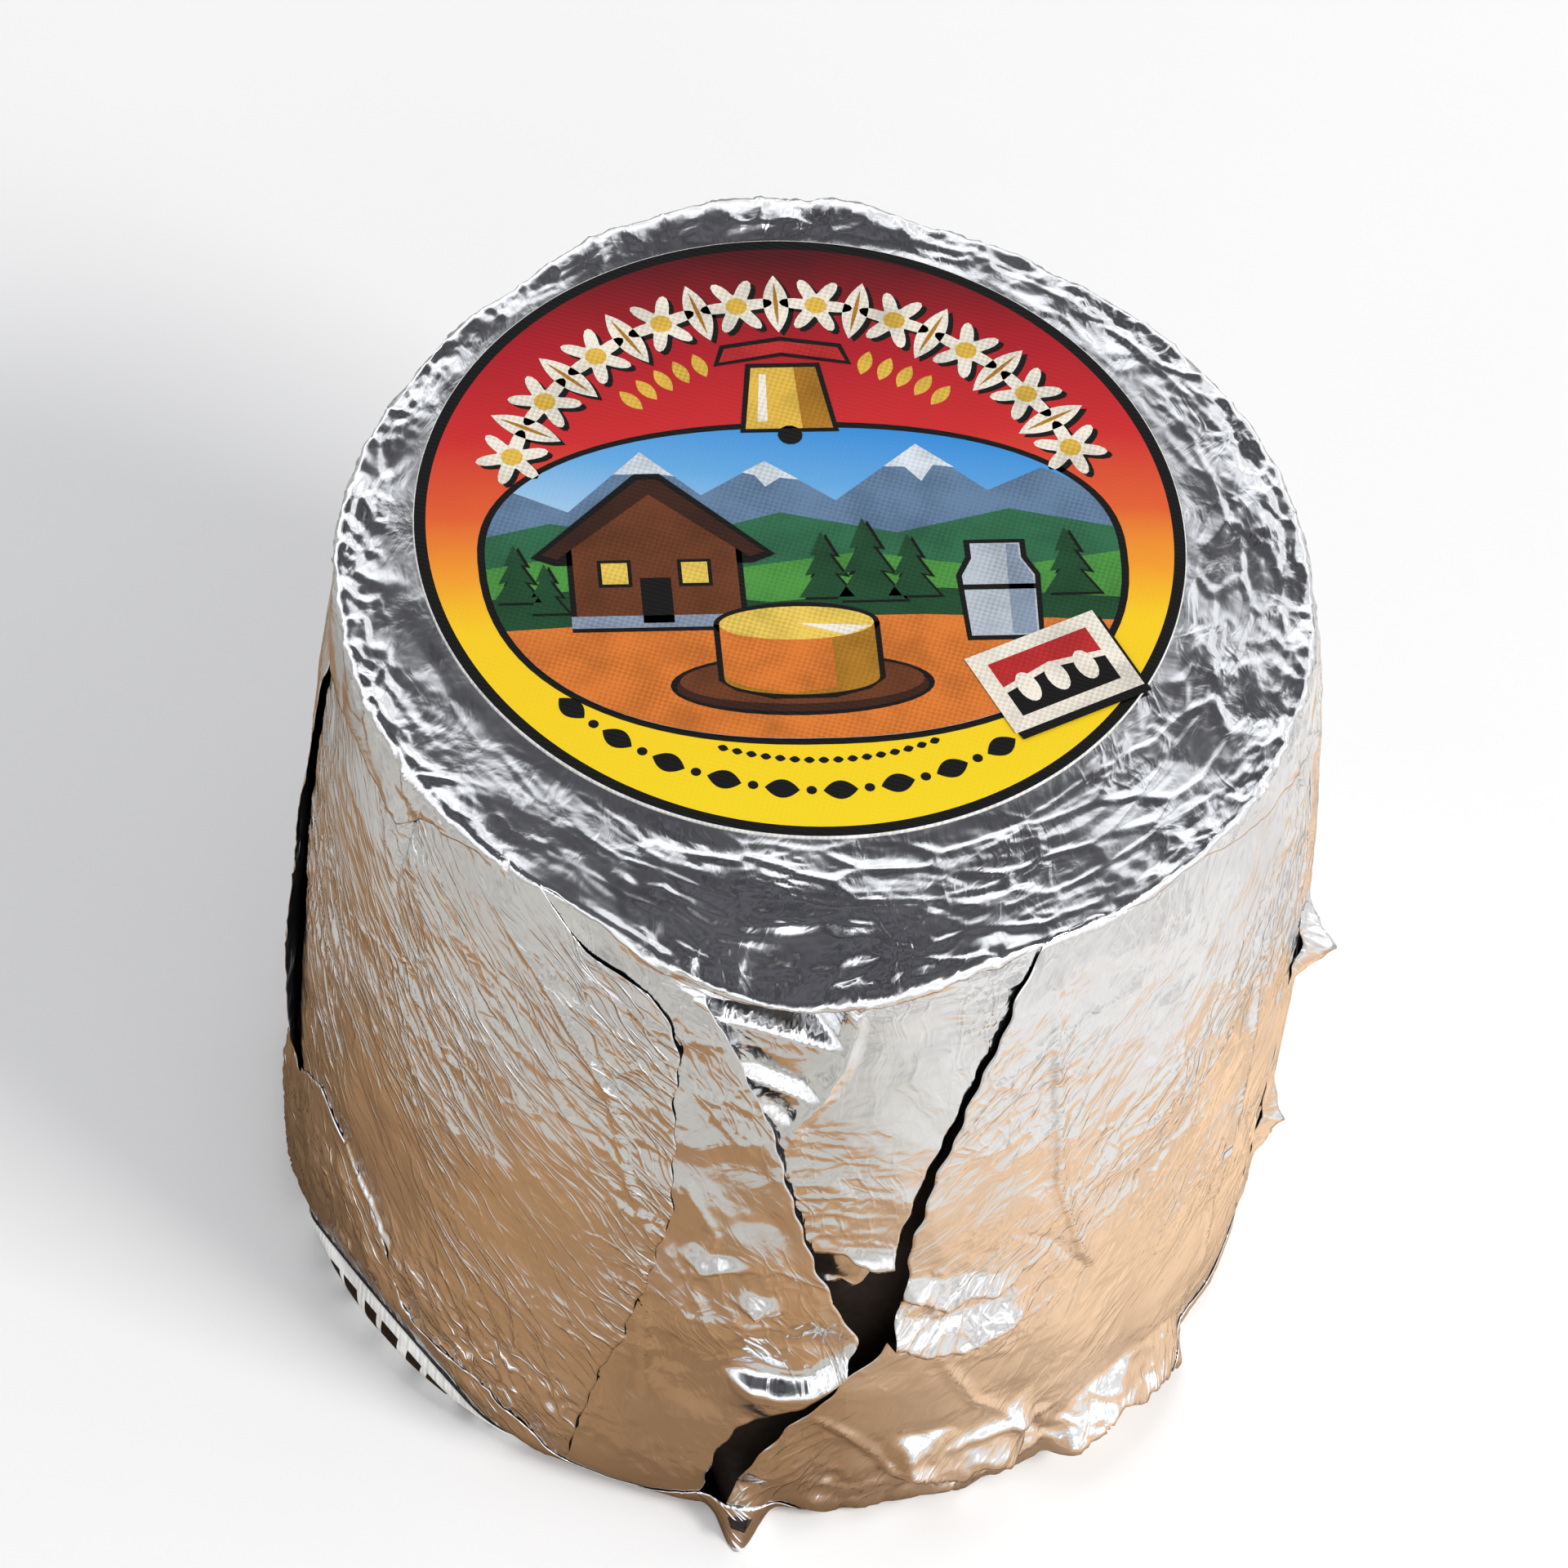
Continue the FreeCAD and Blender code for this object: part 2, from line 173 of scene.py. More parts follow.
# Free edges of the foil sheets, as (share of the foil's height, bearing) from the floor
# up. The CAD model's edges run the same way.
RUNS = {
    "left_stand": [(0.0, 199.0), (0.12, 197.0), (0.30, 192.0), (0.60, 189.0), (0.90, 191.0),
                   (1.0, 192.0)],
    "left_sheet": [(0.0, 250.5), (0.19, 253.5), (0.33, 256.8), (0.43, 258.8), (0.57, 260.7),
                   (0.76, 259.8), (0.87, 258.9), (0.92, 255.6), (0.95, 246.0), (1.0, 240.0)],
    "front_sheet": [(0.0, 267.6), (0.10, 268.0), (0.19, 270.7), (0.24, 274.4), (0.28, 278.0),
                    (0.31, 280.2), (0.345, 281.9), (0.37, 283.0), (0.45, 279.8), (0.51, 277.6),
                    (0.61, 274.5), (0.75, 270.8), (0.86, 266.2), (0.95, 261.3), (1.0, 259.5)],
    "pleat": [(0.70, 272.6), (0.75, 273.1), (0.81, 276.0), (0.86, 277.7), (0.95, 278.5), (1.0, 279.4)],
    "panel": [(0.0, 284.0), (0.49, 285.2), (0.60, 286.6), (0.71, 289.6), (0.82, 293.1), (1.0, 299.4)],
    "right_sheet": [(0.0, 270.8), (0.07, 271.2), (0.11, 272.2), (0.20, 276.4), (0.28, 281.2),
                    (0.36, 286.2), (0.48, 287.6), (0.53, 287.7), (0.60, 288.5), (0.75, 291.7),
                    (0.83, 294.0), (0.92, 296.8), (1.0, 300.4)],
    "right_seam": [(0.0, 349.0), (0.24, 345.0), (0.40, 345.5), (0.55, 349.0), (0.66, 351.0),
                   (1.0, 353.0)],
    "back_right": [(0.0, 378.0), (0.30, 383.0), (0.65, 392.0), (0.90, 397.0), (1.0, 399.0)],
    "back": [(0.0, 441.0), (0.22, 437.0), (0.50, 432.0), (0.80, 428.0), (1.0, 424.0)],
    "back_left": [(0.0, 489.0), (0.25, 494.0), (0.55, 497.0), (0.85, 490.0), (1.0, 487.0)],
}

# How far the foil sags over the rim at the front, in millimetres by bearing, and how far
# down the wall and in over the top it does.
SAG_DOWN = 7.0
SAG_IN = 9.5
RIM_SAG = [(0.0, 0.0), (120.0, 0.0), (220.0, 0.0), (232.0, 0.0), (240.0, 0.0), (246.0, 0.2),
           (251.0, 0.8), (257.0, 2.2), (263.0, 3.4), (268.0, 3.8), (274.0, 3.8), (281.0, 3.0),
           (289.0, 1.4), (297.0, 0.4), (305.0, 0.0), (312.0, 0.0), (330.0, 0.0), (360.0, 0.0)]


# ---- shaping in numbers ---------------------------------------------------------------
def smooth(value):
    """0 below 0, 1 above 1, an S between."""
    t = np.clip(value, 0.0, 1.0)
    return t * t * (3.0 - 2.0 * t)


def hump(value, centre, half_width):
    """1 at the centre, 0 from half_width away."""
    return 0.5 + 0.5 * np.cos(np.pi * np.clip(np.abs(value - centre) / half_width, 0.0, 1.0))


def round_wheel(bearing):
    """The bearing as the tables that start at BACK_SEAM have it."""
    return BACK_SEAM + (bearing - BACK_SEAM) % 360.0


def curve(points, at):
    """A rounded line through a few points: (place, value) pairs, read at many places."""
    x, y = np.array(points, float).T
    slope = np.gradient(y, x)
    i = np.clip(np.searchsorted(x, at) - 1, 0, len(x) - 2)
    width = x[i + 1] - x[i]
    t = np.clip((at - x[i]) / width, 0.0, 1.0)
    rise = y[i + 1] - y[i]
    ahead = t * t * (3.0 - 2.0 * t)
    bend = t * (1.0 - t) * ((1.0 - t) * (slope[i] * width - rise) - t * (slope[i + 1] * width - rise))
    straight = y[i] + rise * t
    eased = y[i] + rise * ahead
    return 0.5 * (straight + eased) + 0.5 * bend


def scatter(cell, seed):
    """Three numbers from 0 to 1 for each cell of whole numbers, the same on every run."""
    mix = cell * np.array((73856093, 19349663, 83492791), np.int64)
    h = ((mix[:, 0] ^ mix[:, 1] ^ mix[:, 2]) + seed * 2654435761 & 0xFFFFFFFF).astype(np.uint32)
    for shift, factor in ((16, 0x7FEB352D), (15, 0x846CA68B), (16, 1)):
        h = (h ^ (h >> np.uint32(shift))) * np.uint32(factor)
    return np.stack([(h >> np.uint32(s) & np.uint32(1023)) / 1023.0 for s in (0, 10, 20)], 1)


def nearest_seeds(spots, seed):
    """Squared distances to the nearest two of the points scattered one to a cell."""
    cell = np.floor(spots).astype(np.int64)
    corner = cell.min(axis=0) - 1
    across, up, along = cell.max(axis=0) + 2 - corner
    cells = np.indices((across, up, along)).reshape(3, -1).T + corner
    points = cells + scatter(cells, seed)
    index = np.array((up * along, along, 1))
    start = (cell - corner - 1) @ index
    first = np.full(len(spots), 9.0)
    second = first.copy()
    for step in np.ndindex(3, 3, 3):
        away = points[start + np.array(step) @ index] - spots
        distance = np.einsum("ij,ij->i", away, away)
        second = np.minimum(second, np.maximum(first, distance))
        first = np.minimum(first, distance)
    return first, second


def crumple(spots, size, seed):
    """Flat facets that meet in sharp creases, about -0.6 to 0.6. size is a facet's width."""
    scaled = spots / size
    return nearest_seeds(scaled, seed)[0] - nearest_seeds(scaled, seed + 1)[0]


def ridges(spots, size, seed, width):
    """A net of thin straight ridges, 0 to 1: foil crumpled and smoothed out again."""
    first, second = nearest_seeds(spots / size, seed)
    return np.clip(1.0 - (second - first) * size / (2.0 * width), 0.0, 1.0)


def facets(spots, *layers):
    """Crumpled facets in layers, each (depth, facet width, seed) in millimetres."""
    return sum(depth * crumple(spots, width, seed) for depth, width, seed in layers)


def crests(spots, *layers):
    """Nets of ridges in layers, each (height, spacing, seed, half width) in millimetres."""
    return sum(height * ridges(spots, spacing, seed, half_width)
               for height, spacing, seed, half_width in layers)


def drift(spots, size, seed):
    """Slow patchiness from 0 to 1, wavelength about size."""
    total = np.zeros(len(spots))
    for i in range(4):
        way = scatter(np.array([[i, 3, 7]]), seed)[0] - 0.5
        way *= 2.0 * math.pi / (size * np.linalg.norm(way))
        total += np.sin(spots @ way + 5.0 * i + seed)
    return smooth(0.5 + 0.28 * total)


class Wheel:
    """The smooth barrel under the foil.

    A spot on it is a bearing in degrees and an arc: millimetres along the foil from the
    middle of the base, out over the bottom edge, up the wall and in over the rim."""

    def __init__(self):
        s = InMillimetres(bpy.context.scene.wheel_settings)
        self.s = s
        self.height = TOP_LABEL_LOW.z / MM
        self.floor_radius = s.base_radius - s.base_rounding
        self.top_radius = s.rim_radius - s.rim_rounding
        self.wall_low = s.base_rounding
        self.wall_high = self.height - s.rim_rounding
        self.arc_floor = self.floor_radius
        self.arc_wall = self.arc_floor + 0.5 * math.pi * s.base_rounding
        self.arc_rim = self.arc_wall + self.wall_high - self.wall_low
        self.arc_top = self.arc_rim + 0.5 * math.pi * s.rim_rounding
        self.arc_centre = self.arc_top + self.top_radius

    def arc_at(self, z):
        """Arc of a height on the wall."""
        return self.arc_wall + z - self.wall_low

    def wall_radius(self, z):
        """Radius of the wall at a height: two parabolas that meet at the bulge."""
        s = self.s
        low = (s.bulge_height - z) / (s.bulge_height - self.wall_low)
        high = (z - s.bulge_height) / (self.wall_high - s.bulge_height)
        drop = np.where(z < s.bulge_height, (s.bulge_radius - s.base_radius) * low ** 2,
                        (s.bulge_radius - s.rim_radius) * high ** 2)
        return s.bulge_radius - drop

    def section(self, arc):
        """Radius, height, and the outward direction (sideways, up) of the barrel's section."""
        s = self.s
        low = np.clip((arc - self.arc_floor) / s.base_rounding, 0.0, 0.5 * math.pi)
        high = np.clip((arc - self.arc_rim) / s.rim_rounding, 0.0, 0.5 * math.pi)
        wall = np.clip(arc - self.arc_wall, 0.0, self.arc_rim - self.arc_wall)
        z = s.base_rounding * (1.0 - np.cos(low)) + wall + s.rim_rounding * np.sin(high)
        below = np.minimum(arc, self.arc_floor) + s.base_rounding * np.sin(low)
        above = self.top_radius + s.rim_rounding * np.cos(high) - np.maximum(arc - self.arc_top, 0.0)
        radius = np.where(arc > self.arc_rim, above, self.wall_radius(z))
        radius = np.where(arc < self.arc_wall, below, radius)
        return radius, z, np.sin(low) * np.cos(high), np.sin(high) - np.cos(low)

    def place(self, arc, bearing, lift):
        """Points in millimetres, lifted off the barrel."""
        s = self.s
        radius, z, out, up = self.section(arc)
        share = np.clip(z / self.height, 0.0, 1.0)
        turn = np.radians(bearing)
        bearing = bearing % 360.0
        roll = hump(bearing, *ROLL_AT)
        sag = curve(RIM_SAG, bearing) * smooth((arc - self.arc_rim) / SAG_DOWN + 1.0)
        sag = sag * smooth((self.arc_top + SAG_IN - arc) / 11.0)
        lean = s.lean * np.cos(turn) * np.sin(np.pi * share)
        side = lean + s.roll_out * roll * hump(share, 1.0, 0.10)
        side += s.hem_depth * hump(bearing, *HEM_AT) * hump(z, 3.5, 7.0)
        side += s.front_lip * hump(bearing, *FRONT_LIP_AT) ** 0.6 * hump(arc, self.arc_rim - 0.2, 2.2)
        radius = radius + out * side + out * lift
        pull = hump(bearing, *TAIL_AT) * np.clip(1.0 - z / TAIL_HEIGHT, 0.0, 1.0)
        radius = radius + pull * (s.base_radius + s.tail_length + out * lift - radius)
        rim_middle = 0.5 * (self.arc_rim + self.arc_top)
        z = z + up * lift + s.roll_up * roll * hump(arc, rim_middle, 4.0) - sag
        return np.stack([radius * np.cos(turn), radius * np.sin(turn), np.maximum(z, 0.0)], 1)

    def twisted(self, arc, bearing, twist, stretch):
        """Spots for a crumple whose facets are drawn out along a slant.

        twist is in degrees of bearing for each millimetre of arc."""
        turn = np.radians(bearing + twist * arc)
        across = np.where(arc > self.arc_rim, self.section(arc)[0], self.s.bulge_radius)
        return np.stack([across * np.cos(turn), across * np.sin(turn), arc / stretch], 1)


# ---- making meshes ----------------------------------------------------------------------
def as_mesh(shape, name):
    """The finished shape as a mesh."""
    mesh = bpy.data.meshes.new(name)
    shape.to_mesh(mesh)
    shape.free()
    return mesh


def grid(across, along):
    """A unit grid as a mesh, with its two coordinates from 0 to 1."""
    shape = bmesh.new()
    bmesh.ops.create_grid(shape, x_segments=across, y_segments=along, size=0.5)
    mesh = as_mesh(shape, "grid")
    flat = np.empty(len(mesh.vertices) * 3, np.float32)
    mesh.vertices.foreach_get("co", flat)
    return mesh, flat[0::3].astype(float) + 0.5, flat[1::3].astype(float) + 0.5


def set_places(mesh, points):
    """Moves the mesh's vertices to these points, in millimetres."""
    mesh.vertices.foreach_set("co", (points * MM).astype(np.float32).ravel())
    mesh.update()


def set_sheet_map(mesh, across, along, fineness):
    """Millimetres across and along the sheet, for patterns that follow the foil, and how
    finely wrinkled it is, 0 to 1."""
    values = np.stack([across, along, fineness], 1).astype(np.float32)
    mesh.attributes.new("sheet", "FLOAT_VECTOR", "POINT").data.foreach_set("vector", values.ravel())


def close_seams(mesh):
    """Joins the edges that meet, such as a full turn's two ends and a pole."""
    shape = bmesh.new()
    shape.from_mesh(mesh)
    bmesh.ops.remove_doubles(shape, verts=shape.verts, dist=0.002 * MM)
    bmesh.ops.dissolve_degenerate(shape, edges=shape.edges, dist=0.001 * MM)
    shape.to_mesh(mesh)
    shape.free()


def in_scene(name, data):
    """A new object of the scene."""
    made = bpy.data.objects.new(name, data)
    bpy.context.scene.collection.objects.link(made)
    return made


def piece(name, mesh, material, replaced, smooth_shaded=True):
    """The mesh as a finished piece of the object."""
    mesh.name = name
    made = in_scene(name, mesh)
    mesh.materials.append(material)
    mesh.polygons.foreach_set("use_smooth", np.full(len(mesh.polygons), smooth_shaded))
    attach(made, "root")
    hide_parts(replaced)
    return made


def thicken(made, thickness_mm):
    """Gives a sheet's free edges their thickness, inwards."""
    solid = made.modifiers.new("thickness", "SOLIDIFY")
    solid.thickness = thickness_mm * MM
    solid.offset = -1.0
    solid.use_rim_only = True


# ---- materials ------------------------------------------------------------------------------
def node(tree, kind, inputs=None, **settings):
    """Adds a node. inputs maps a socket to a value or to another node's output."""
    made = tree.nodes.new(kind)
    for key, value in settings.items():
        setattr(made, key, value)
    for socket, value in (inputs or {}).items():
        if isinstance(value, bpy.types.NodeSocket):
            tree.links.new(value, made.inputs[socket])
        else:
            made.inputs[socket].default_value = value
    return made


def new_material(name):
    """An empty material: its tree and its shader."""
    material = bpy.data.materials.new(name)
    material.use_nodes = True
    tree = material.node_tree
    tree.nodes.clear()
    shader = node(tree, "ShaderNodeBsdfPrincipled")
    node(tree, "ShaderNodeOutputMaterial", {"Surface": shader.outputs["BSDF"]})
    return material, tree, shader


def ramp(tree, factor, stops):
    """A colour ramp through (place, linear colour) stops."""
    made = node(tree, "ShaderNodeValToRGB", {"Fac": factor})
    elements = made.color_ramp.elements
    elements[0].position, elements[0].color = stops[0]
    elements[1].position, elements[1].color = stops[-1]
    for place, value in stops[1:-1]:
        elements.new(place).color = value
    return made


# The foil's creases that are bump: turn, then spacing, length, height and half width in
# millimetres. The finer ones run across the coarser.
FOIL_CREASES = ((0.25, 3.0, 8.0, 0.060, 0.30), (-0.7, 1.6, 3.6, 0.030, 0.20))

# Its soft dents, then its rolling marks, which are hairlines along the sheet, drawn a
# little coarse so that they show: marks to a millimetre across and along, and height.
FOIL_MARKS = (((0.55, 0.30, 0.0), 0.10), ((1.6, 1.1, 0.0), 0.02), ((3.2, 0.05, 0.0), 0.006))


def foil_material():
    """Household aluminium foil: bare bright metal, rolled thin, so it mirrors its
    surroundings in soft patches that every crease breaks up."""
    made = bpy.data.materials.get("rolled_aluminium_foil")
    if made:
        return made
    foil = bpy.context.scene.foil_settings
    material, tree, shader = new_material("rolled_aluminium_foil")
    sheet = node(tree, "ShaderNodeAttribute", attribute_name="sheet").outputs["Vector"]
    fineness = node(tree, "ShaderNodeSeparateXYZ", {"Vector": sheet}).outputs["Z"]
    flat = node(tree, "ShaderNodeVectorMath", {0: sheet, 1: (1.0, 1.0, 0.0)},
                operation="MULTIPLY").outputs["Vector"]
    bends = node(tree, "ShaderNodeTexNoise", {"Vector": flat, "Scale": 0.08, "Detail": 2.0})
    bent = node(tree, "ShaderNodeVectorMath", {0: bends.outputs["Color"], 1: (10.0, 10.0, 0.0), 2: flat},
                operation="MULTIPLY_ADD").outputs["Vector"]
    total = None
    for turn, spacing, long, height, half_width in FOIL_CREASES:
        drawn = node(tree, "ShaderNodeMapping", {
            "Vector": bent, "Rotation": (0.0, 0.0, turn), "Scale": (1.0 / spacing, 1.0 / long, 1.0)})
        net = node(tree, "ShaderNodeTexVoronoi", {"Vector": drawn.outputs["Vector"], "Scale": 1.0},
                   voronoi_dimensions="2D", feature="DISTANCE_TO_EDGE")
        crest = node(tree, "ShaderNodeMapRange", {
            "Value": net.outputs["Distance"], "From Min": 0.0, "From Max": half_width / spacing,
            "To Min": height, "To Max": 0.0})
        shown = node(tree, "ShaderNodeMath", {0: crest.outputs["Result"], 1: fineness},
                     operation="MULTIPLY")
        if total:
            shown = node(tree, "ShaderNodeMath", {0: shown.outputs["Value"], 1: total.outputs["Value"]},
                         operation="ADD")
        total = shown
    for marks_to_a_mm, height in FOIL_MARKS:
        drawn = node(tree, "ShaderNodeMapping", {"Vector": bent, "Scale": marks_to_a_mm})
        dents = node(tree, "ShaderNodeTexNoise", {
            "Vector": drawn.outputs["Vector"], "Scale": 1.0, "Detail": 1.0})
        total = node(tree, "ShaderNodeMath", {
            0: dents.outputs["Fac"], 1: height, 2: total.outputs["Value"]}, operation="MULTIPLY_ADD")
    gloss = node(tree, "ShaderNodeMapRange", {
        "Value": bends.outputs["Fac"], "From Min": 0.35, "From Max": 0.65,
        "To Min": foil.roughness - 0.05, "To Max": foil.roughness + 0.07})
    bump = node(tree, "ShaderNodeBump", {
        "Height": total.outputs["Value"], "Strength": 1.0, "Distance": 1.0 * MM})
    tree.links.new(gloss.outputs["Result"], shader.inputs["Roughness"])
    tree.links.new(bump.outputs["Normal"], shader.inputs["Normal"])
    shader.inputs["Base Color"].default_value = foil.bright
    shader.inputs["Metallic"].default_value = 1.0
    return material


def rind_material():
    """Washed cheese rind: brown, slightly tacky and pitted, in the shade of the foil. Its
    near-black colour is partly painted shade for the opening it shows through.
    """
    foil = bpy.context.scene.foil_settings
    material, tree, shader = new_material("washed_cheese_rind")
    coordinates = node(tree, "ShaderNodeTexCoord").outputs["Object"]
    pits = node(tree, "ShaderNodeTexNoise", {"Vector": coordinates, "Scale": 900.0, "Detail": 4.0})
    dark = tuple(0.45 * c for c in foil.rind[:3]) + (1.0,)
    tint = ramp(tree, pits.outputs["Fac"], [(0.35, dark), (0.7, tuple(foil.rind))])
    bump = node(tree, "ShaderNodeBump", {
        "Height": pits.outputs["Fac"], "Strength": 0.6, "Distance": 0.2 * MM})
    tree.links.new(tint.outputs["Color"], shader.inputs["Base Color"])
    tree.links.new(bump.outputs["Normal"], shader.inputs["Normal"])
    shader.inputs["Roughness"].default_value = 0.7
    return material


# Distance between a wave texture's crests when its scale is 1.
WAVE_AT_SCALE_1 = 0.314


def linen_bump(tree, shader):
    """Linen emboss pressed into the coated paper: fine crossed threads."""
    label = bpy.context.scene.label_settings
    coordinates = node(tree, "ShaderNodeTexCoord").outputs["Object"]
    wobble = node(tree, "ShaderNodeTexNoise", {"Vector": coordinates, "Scale": 350.0, "Detail": 2.0})
    threads = []
    for turn in (0.0, 0.5 * math.pi):
        along = node(tree, "ShaderNodeMapping", {
            "Vector": coordinates, "Rotation": (0.0, 0.0, turn + label.turn)})
        threads.append(node(tree, "ShaderNodeTexWave", {
            "Vector": along.outputs["Vector"], "Scale": WAVE_AT_SCALE_1 / label.weave,
            "Distortion": 1.2, "Detail": 1.0}))
    crossed = node(tree, "ShaderNodeMath", {0: threads[0].outputs["Fac"], 1: threads[1].outputs["Fac"]},
                   operation="ADD")
    rough = node(tree, "ShaderNodeMath", {0: crossed.outputs["Value"], 1: wobble.outputs["Fac"]},
                 operation="MULTIPLY")
    bump = node(tree, "ShaderNodeBump", {
        "Height": rough.outputs["Value"], "Strength": 0.5, "Distance": 0.03 * MM})
    tree.links.new(bump.outputs["Normal"], shader.inputs["Normal"])
    return rough


def satin_coat(shader):
    """Satin varnish over the ink: a soft, weak shine."""
    shader.inputs["Roughness"].default_value = 0.42
    shader.inputs["Specular IOR Level"].default_value = 0.18


def ink_material(name, code):
    """Offset ink under a satin coat, on linen-embossed label paper. It is painted, so it runs a
    little lighter and darker over a few millimetres; painted shade also darkens it in the low
    threads of the emboss."""
    material, tree, shader = new_material("printed_" + name)
    threads = linen_bump(tree, shader)
    coordinates = node(tree, "ShaderNodeTexCoord").outputs["Object"]
    wash = node(tree, "ShaderNodeTexNoise", {"Vector": coordinates, "Scale": 190.0, "Detail": 3.0})
    # The ink is darker where the emboss is low: painted shade in the weave, added to the artwork's own
    # uneven wash.
    both = node(tree, "ShaderNodeMath", {0: threads.outputs["Value"], 1: 0.35, 2: wash.outputs["Fac"]},
                operation="MULTIPLY_ADD")
    base = linear(code)
    weave_shade_and_wash = tuple(0.62 * c for c in base[:3]) + (1.0,)
    tint = ramp(tree, both.outputs["Value"], [(0.40, weave_shade_and_wash), (0.85, base)])
    tree.links.new(tint.outputs["Color"], shader.inputs["Base Color"])
    satin_coat(shader)
    return material


def sky_material():
    """Printed sky, paler towards the horizon."""
    material, tree, shader = new_material("printed_sky")
    coordinates = node(tree, "ShaderNodeTexCoord").outputs["Object"]
    height = node(tree, "ShaderNodeSeparateXYZ", {"Vector": coordinates})
    place = node(tree, "ShaderNodeMapRange", {
        "Value": height.outputs["Y"], "From Min": 0.003, "From Max": 0.022})
    tint = ramp(tree, place.outputs["Result"], [
        (0.0, linear("#A9CBE6")), (0.5, linear("#63A6DC")), (1.0, linear("#2E86D2"))])
    tree.links.new(tint.outputs["Color"], shader.inputs["Base Color"])
    linen_bump(tree, shader)
    satin_coat(shader)
    return material


def sunset_material():
    """The label's ground: one printed blend from dark red at the top to yellow."""
    label = bpy.context.scene.label_settings
    material, tree, shader = new_material("printed_red_to_yellow")
    coordinates = node(tree, "ShaderNodeTexCoord").outputs["Object"]
    moved = node(tree, "ShaderNodeMapping", {"Vector": coordinates, "Location": -TOP_LABEL_CENTRE})
    to_unit = 0.5 / TOP_LABEL_RADIUS
    upright = node(tree, "ShaderNodeMapping", {
        "Vector": moved.outputs["Vector"], "Rotation": (0.0, 0.0, -label.turn),
        "Scale": (to_unit, to_unit, 1.0)})
    height = node(tree, "ShaderNodeSeparateXYZ", {"Vector": upright.outputs["Vector"]})
    streaks = node(tree, "ShaderNodeTexNoise", {"Vector": coordinates, "Scale": 120.0, "Detail": 3.0})
    shifted = node(tree, "ShaderNodeMath", {
        0: streaks.outputs["Fac"], 1: 0.05, 2: height.outputs["Y"]}, operation="MULTIPLY_ADD")
    place = node(tree, "ShaderNodeMath", {0: shifted.outputs["Value"], 1: 0.475}, operation="ADD")
    tint = ramp(tree, place.outputs["Value"], [
        (0.0, linear("#F0D21C")), (0.34, linear("#F2C81E")), (0.43, linear("#EE9A2A")),
        (0.53, linear("#DD5E30")), (0.66, linear("#C92A2C")), (0.82, linear("#A61724")),
        (0.97, linear("#4C0A12"))])
    tree.links.new(tint.outputs["Color"], shader.inputs["Base Color"])
    linen_bump(tree, shader)
    satin_coat(shader)
    return material


# ---- foil ---------------------------------------------------------------------------------------
# Ragged lower edge of the top foil, and ragged upper edge of the base foil, as
# (bearing, height) round the wheel.
TOP_SKIRT = [(-200.0, 88.0), (-172.0, 85.0), (-150.0, 87.5), (-143.0, 86.5), (-137.0, 91.5),
             (-128.0, 94.4), (-112.0, 94.5), (-104.0, 93.0), (-97.0, 90.6), (-88.0, 91.6),
             (-80.0, 92.6), (-70.0, 94.0), (-55.0, 94.5), (-38.0, 94.2), (-22.0, 90.0),
             (-10.0, 86.5), (5.0, 88.0), (30.0, 90.5), (60.0, 89.0), (95.0, 88.0), (130.0, 90.0),
             (160.0, 88.0)]
BASE_HEM = [(-200.0, 9.0), (-172.0, 14.0), (-155.0, 26.0), (-145.0, 24.5), (-139.0, 21.0),
            (-133.0, 12.0), (-125.0, 10.0), (-116.0, 7.5), (-108.0, 3.0), (-100.0, 1.4),
            (-94.5, 4.4), (-88.0, 5.0), (-84.5, 4.2), (-80.0, 1.4), (-60.0, 1.4), (-38.0, 1.6),
            (-28.0, 5.0), (-15.0, 6.0), (10.0, 9.0), (45.0, 7.0), (80.0, 11.0), (120.0, 7.0),
            (160.0, 9.0)]

# How crushed the foil of the rim is, by bearing.
RIM_CRUSH = [(-200.0, 0.7), (-172.0, 0.9), (-150.0, 0.9), (-138.0, 0.7), (-126.0, 0.15),
             (-110.0, 0.2), (-101.0, 0.9), (-92.0, 0.7), (-84.0, 0.9), (-76.0, 0.8), (-68.0, 0.7),
             (-58.0, 0.45), (-38.0, 0.45), (-26.0, 0.6), (-12.0, 0.8), (10.0, 0.7), (40.0, 0.7),
             (70.0, 0.8), (110.0, 0.8), (140.0, 0.7), (160.0, 0.7)]

# How wrinkled the flat of the top is between the rim and the label, by bearing.
TOP_WRINKLES = [(-200.0, 0.6), (-172.0, 0.5), (-140.0, 0.45), (-122.0, 0.7), (-90.0, 1.7),
                (-60.0, 1.6), (-40.0, 1.6), (0.0, 1.7), (30.0, 1.4), (60.0, 1.6), (100.0, 1.5),
                (130.0, 1.0), (160.0, 0.6)]


def wall_spots(bearing, height):
    """Points on the wall's round, for patterns."""
    turn = np.radians(bearing)
    return np.stack([WALL_RADIUS * np.cos(turn), WALL_RADIUS * np.sin(turn), height + 0.0 * turn], 1)


def ragged(run, bearing, level):
    """Height of a torn foil edge at any bearing: the run, with uneven nicks. A level of
    its own gives each edge other nicks."""
    bearing = round_wheel(bearing)
    spots = wall_spots(bearing, level)
    return curve(run, bearing) + facets(spots, (0.7, 7.0, 71), (0.5, 2.6, 72))


def top_skirt(bearing):
    """Height of the top foil's lower edge."""
    return ragged(TOP_SKIRT, bearing, 156.0)


def base_hem(bearing):
    """Height of the base foil's upper edge."""
    return ragged(BASE_HEM, bearing, 260.0)


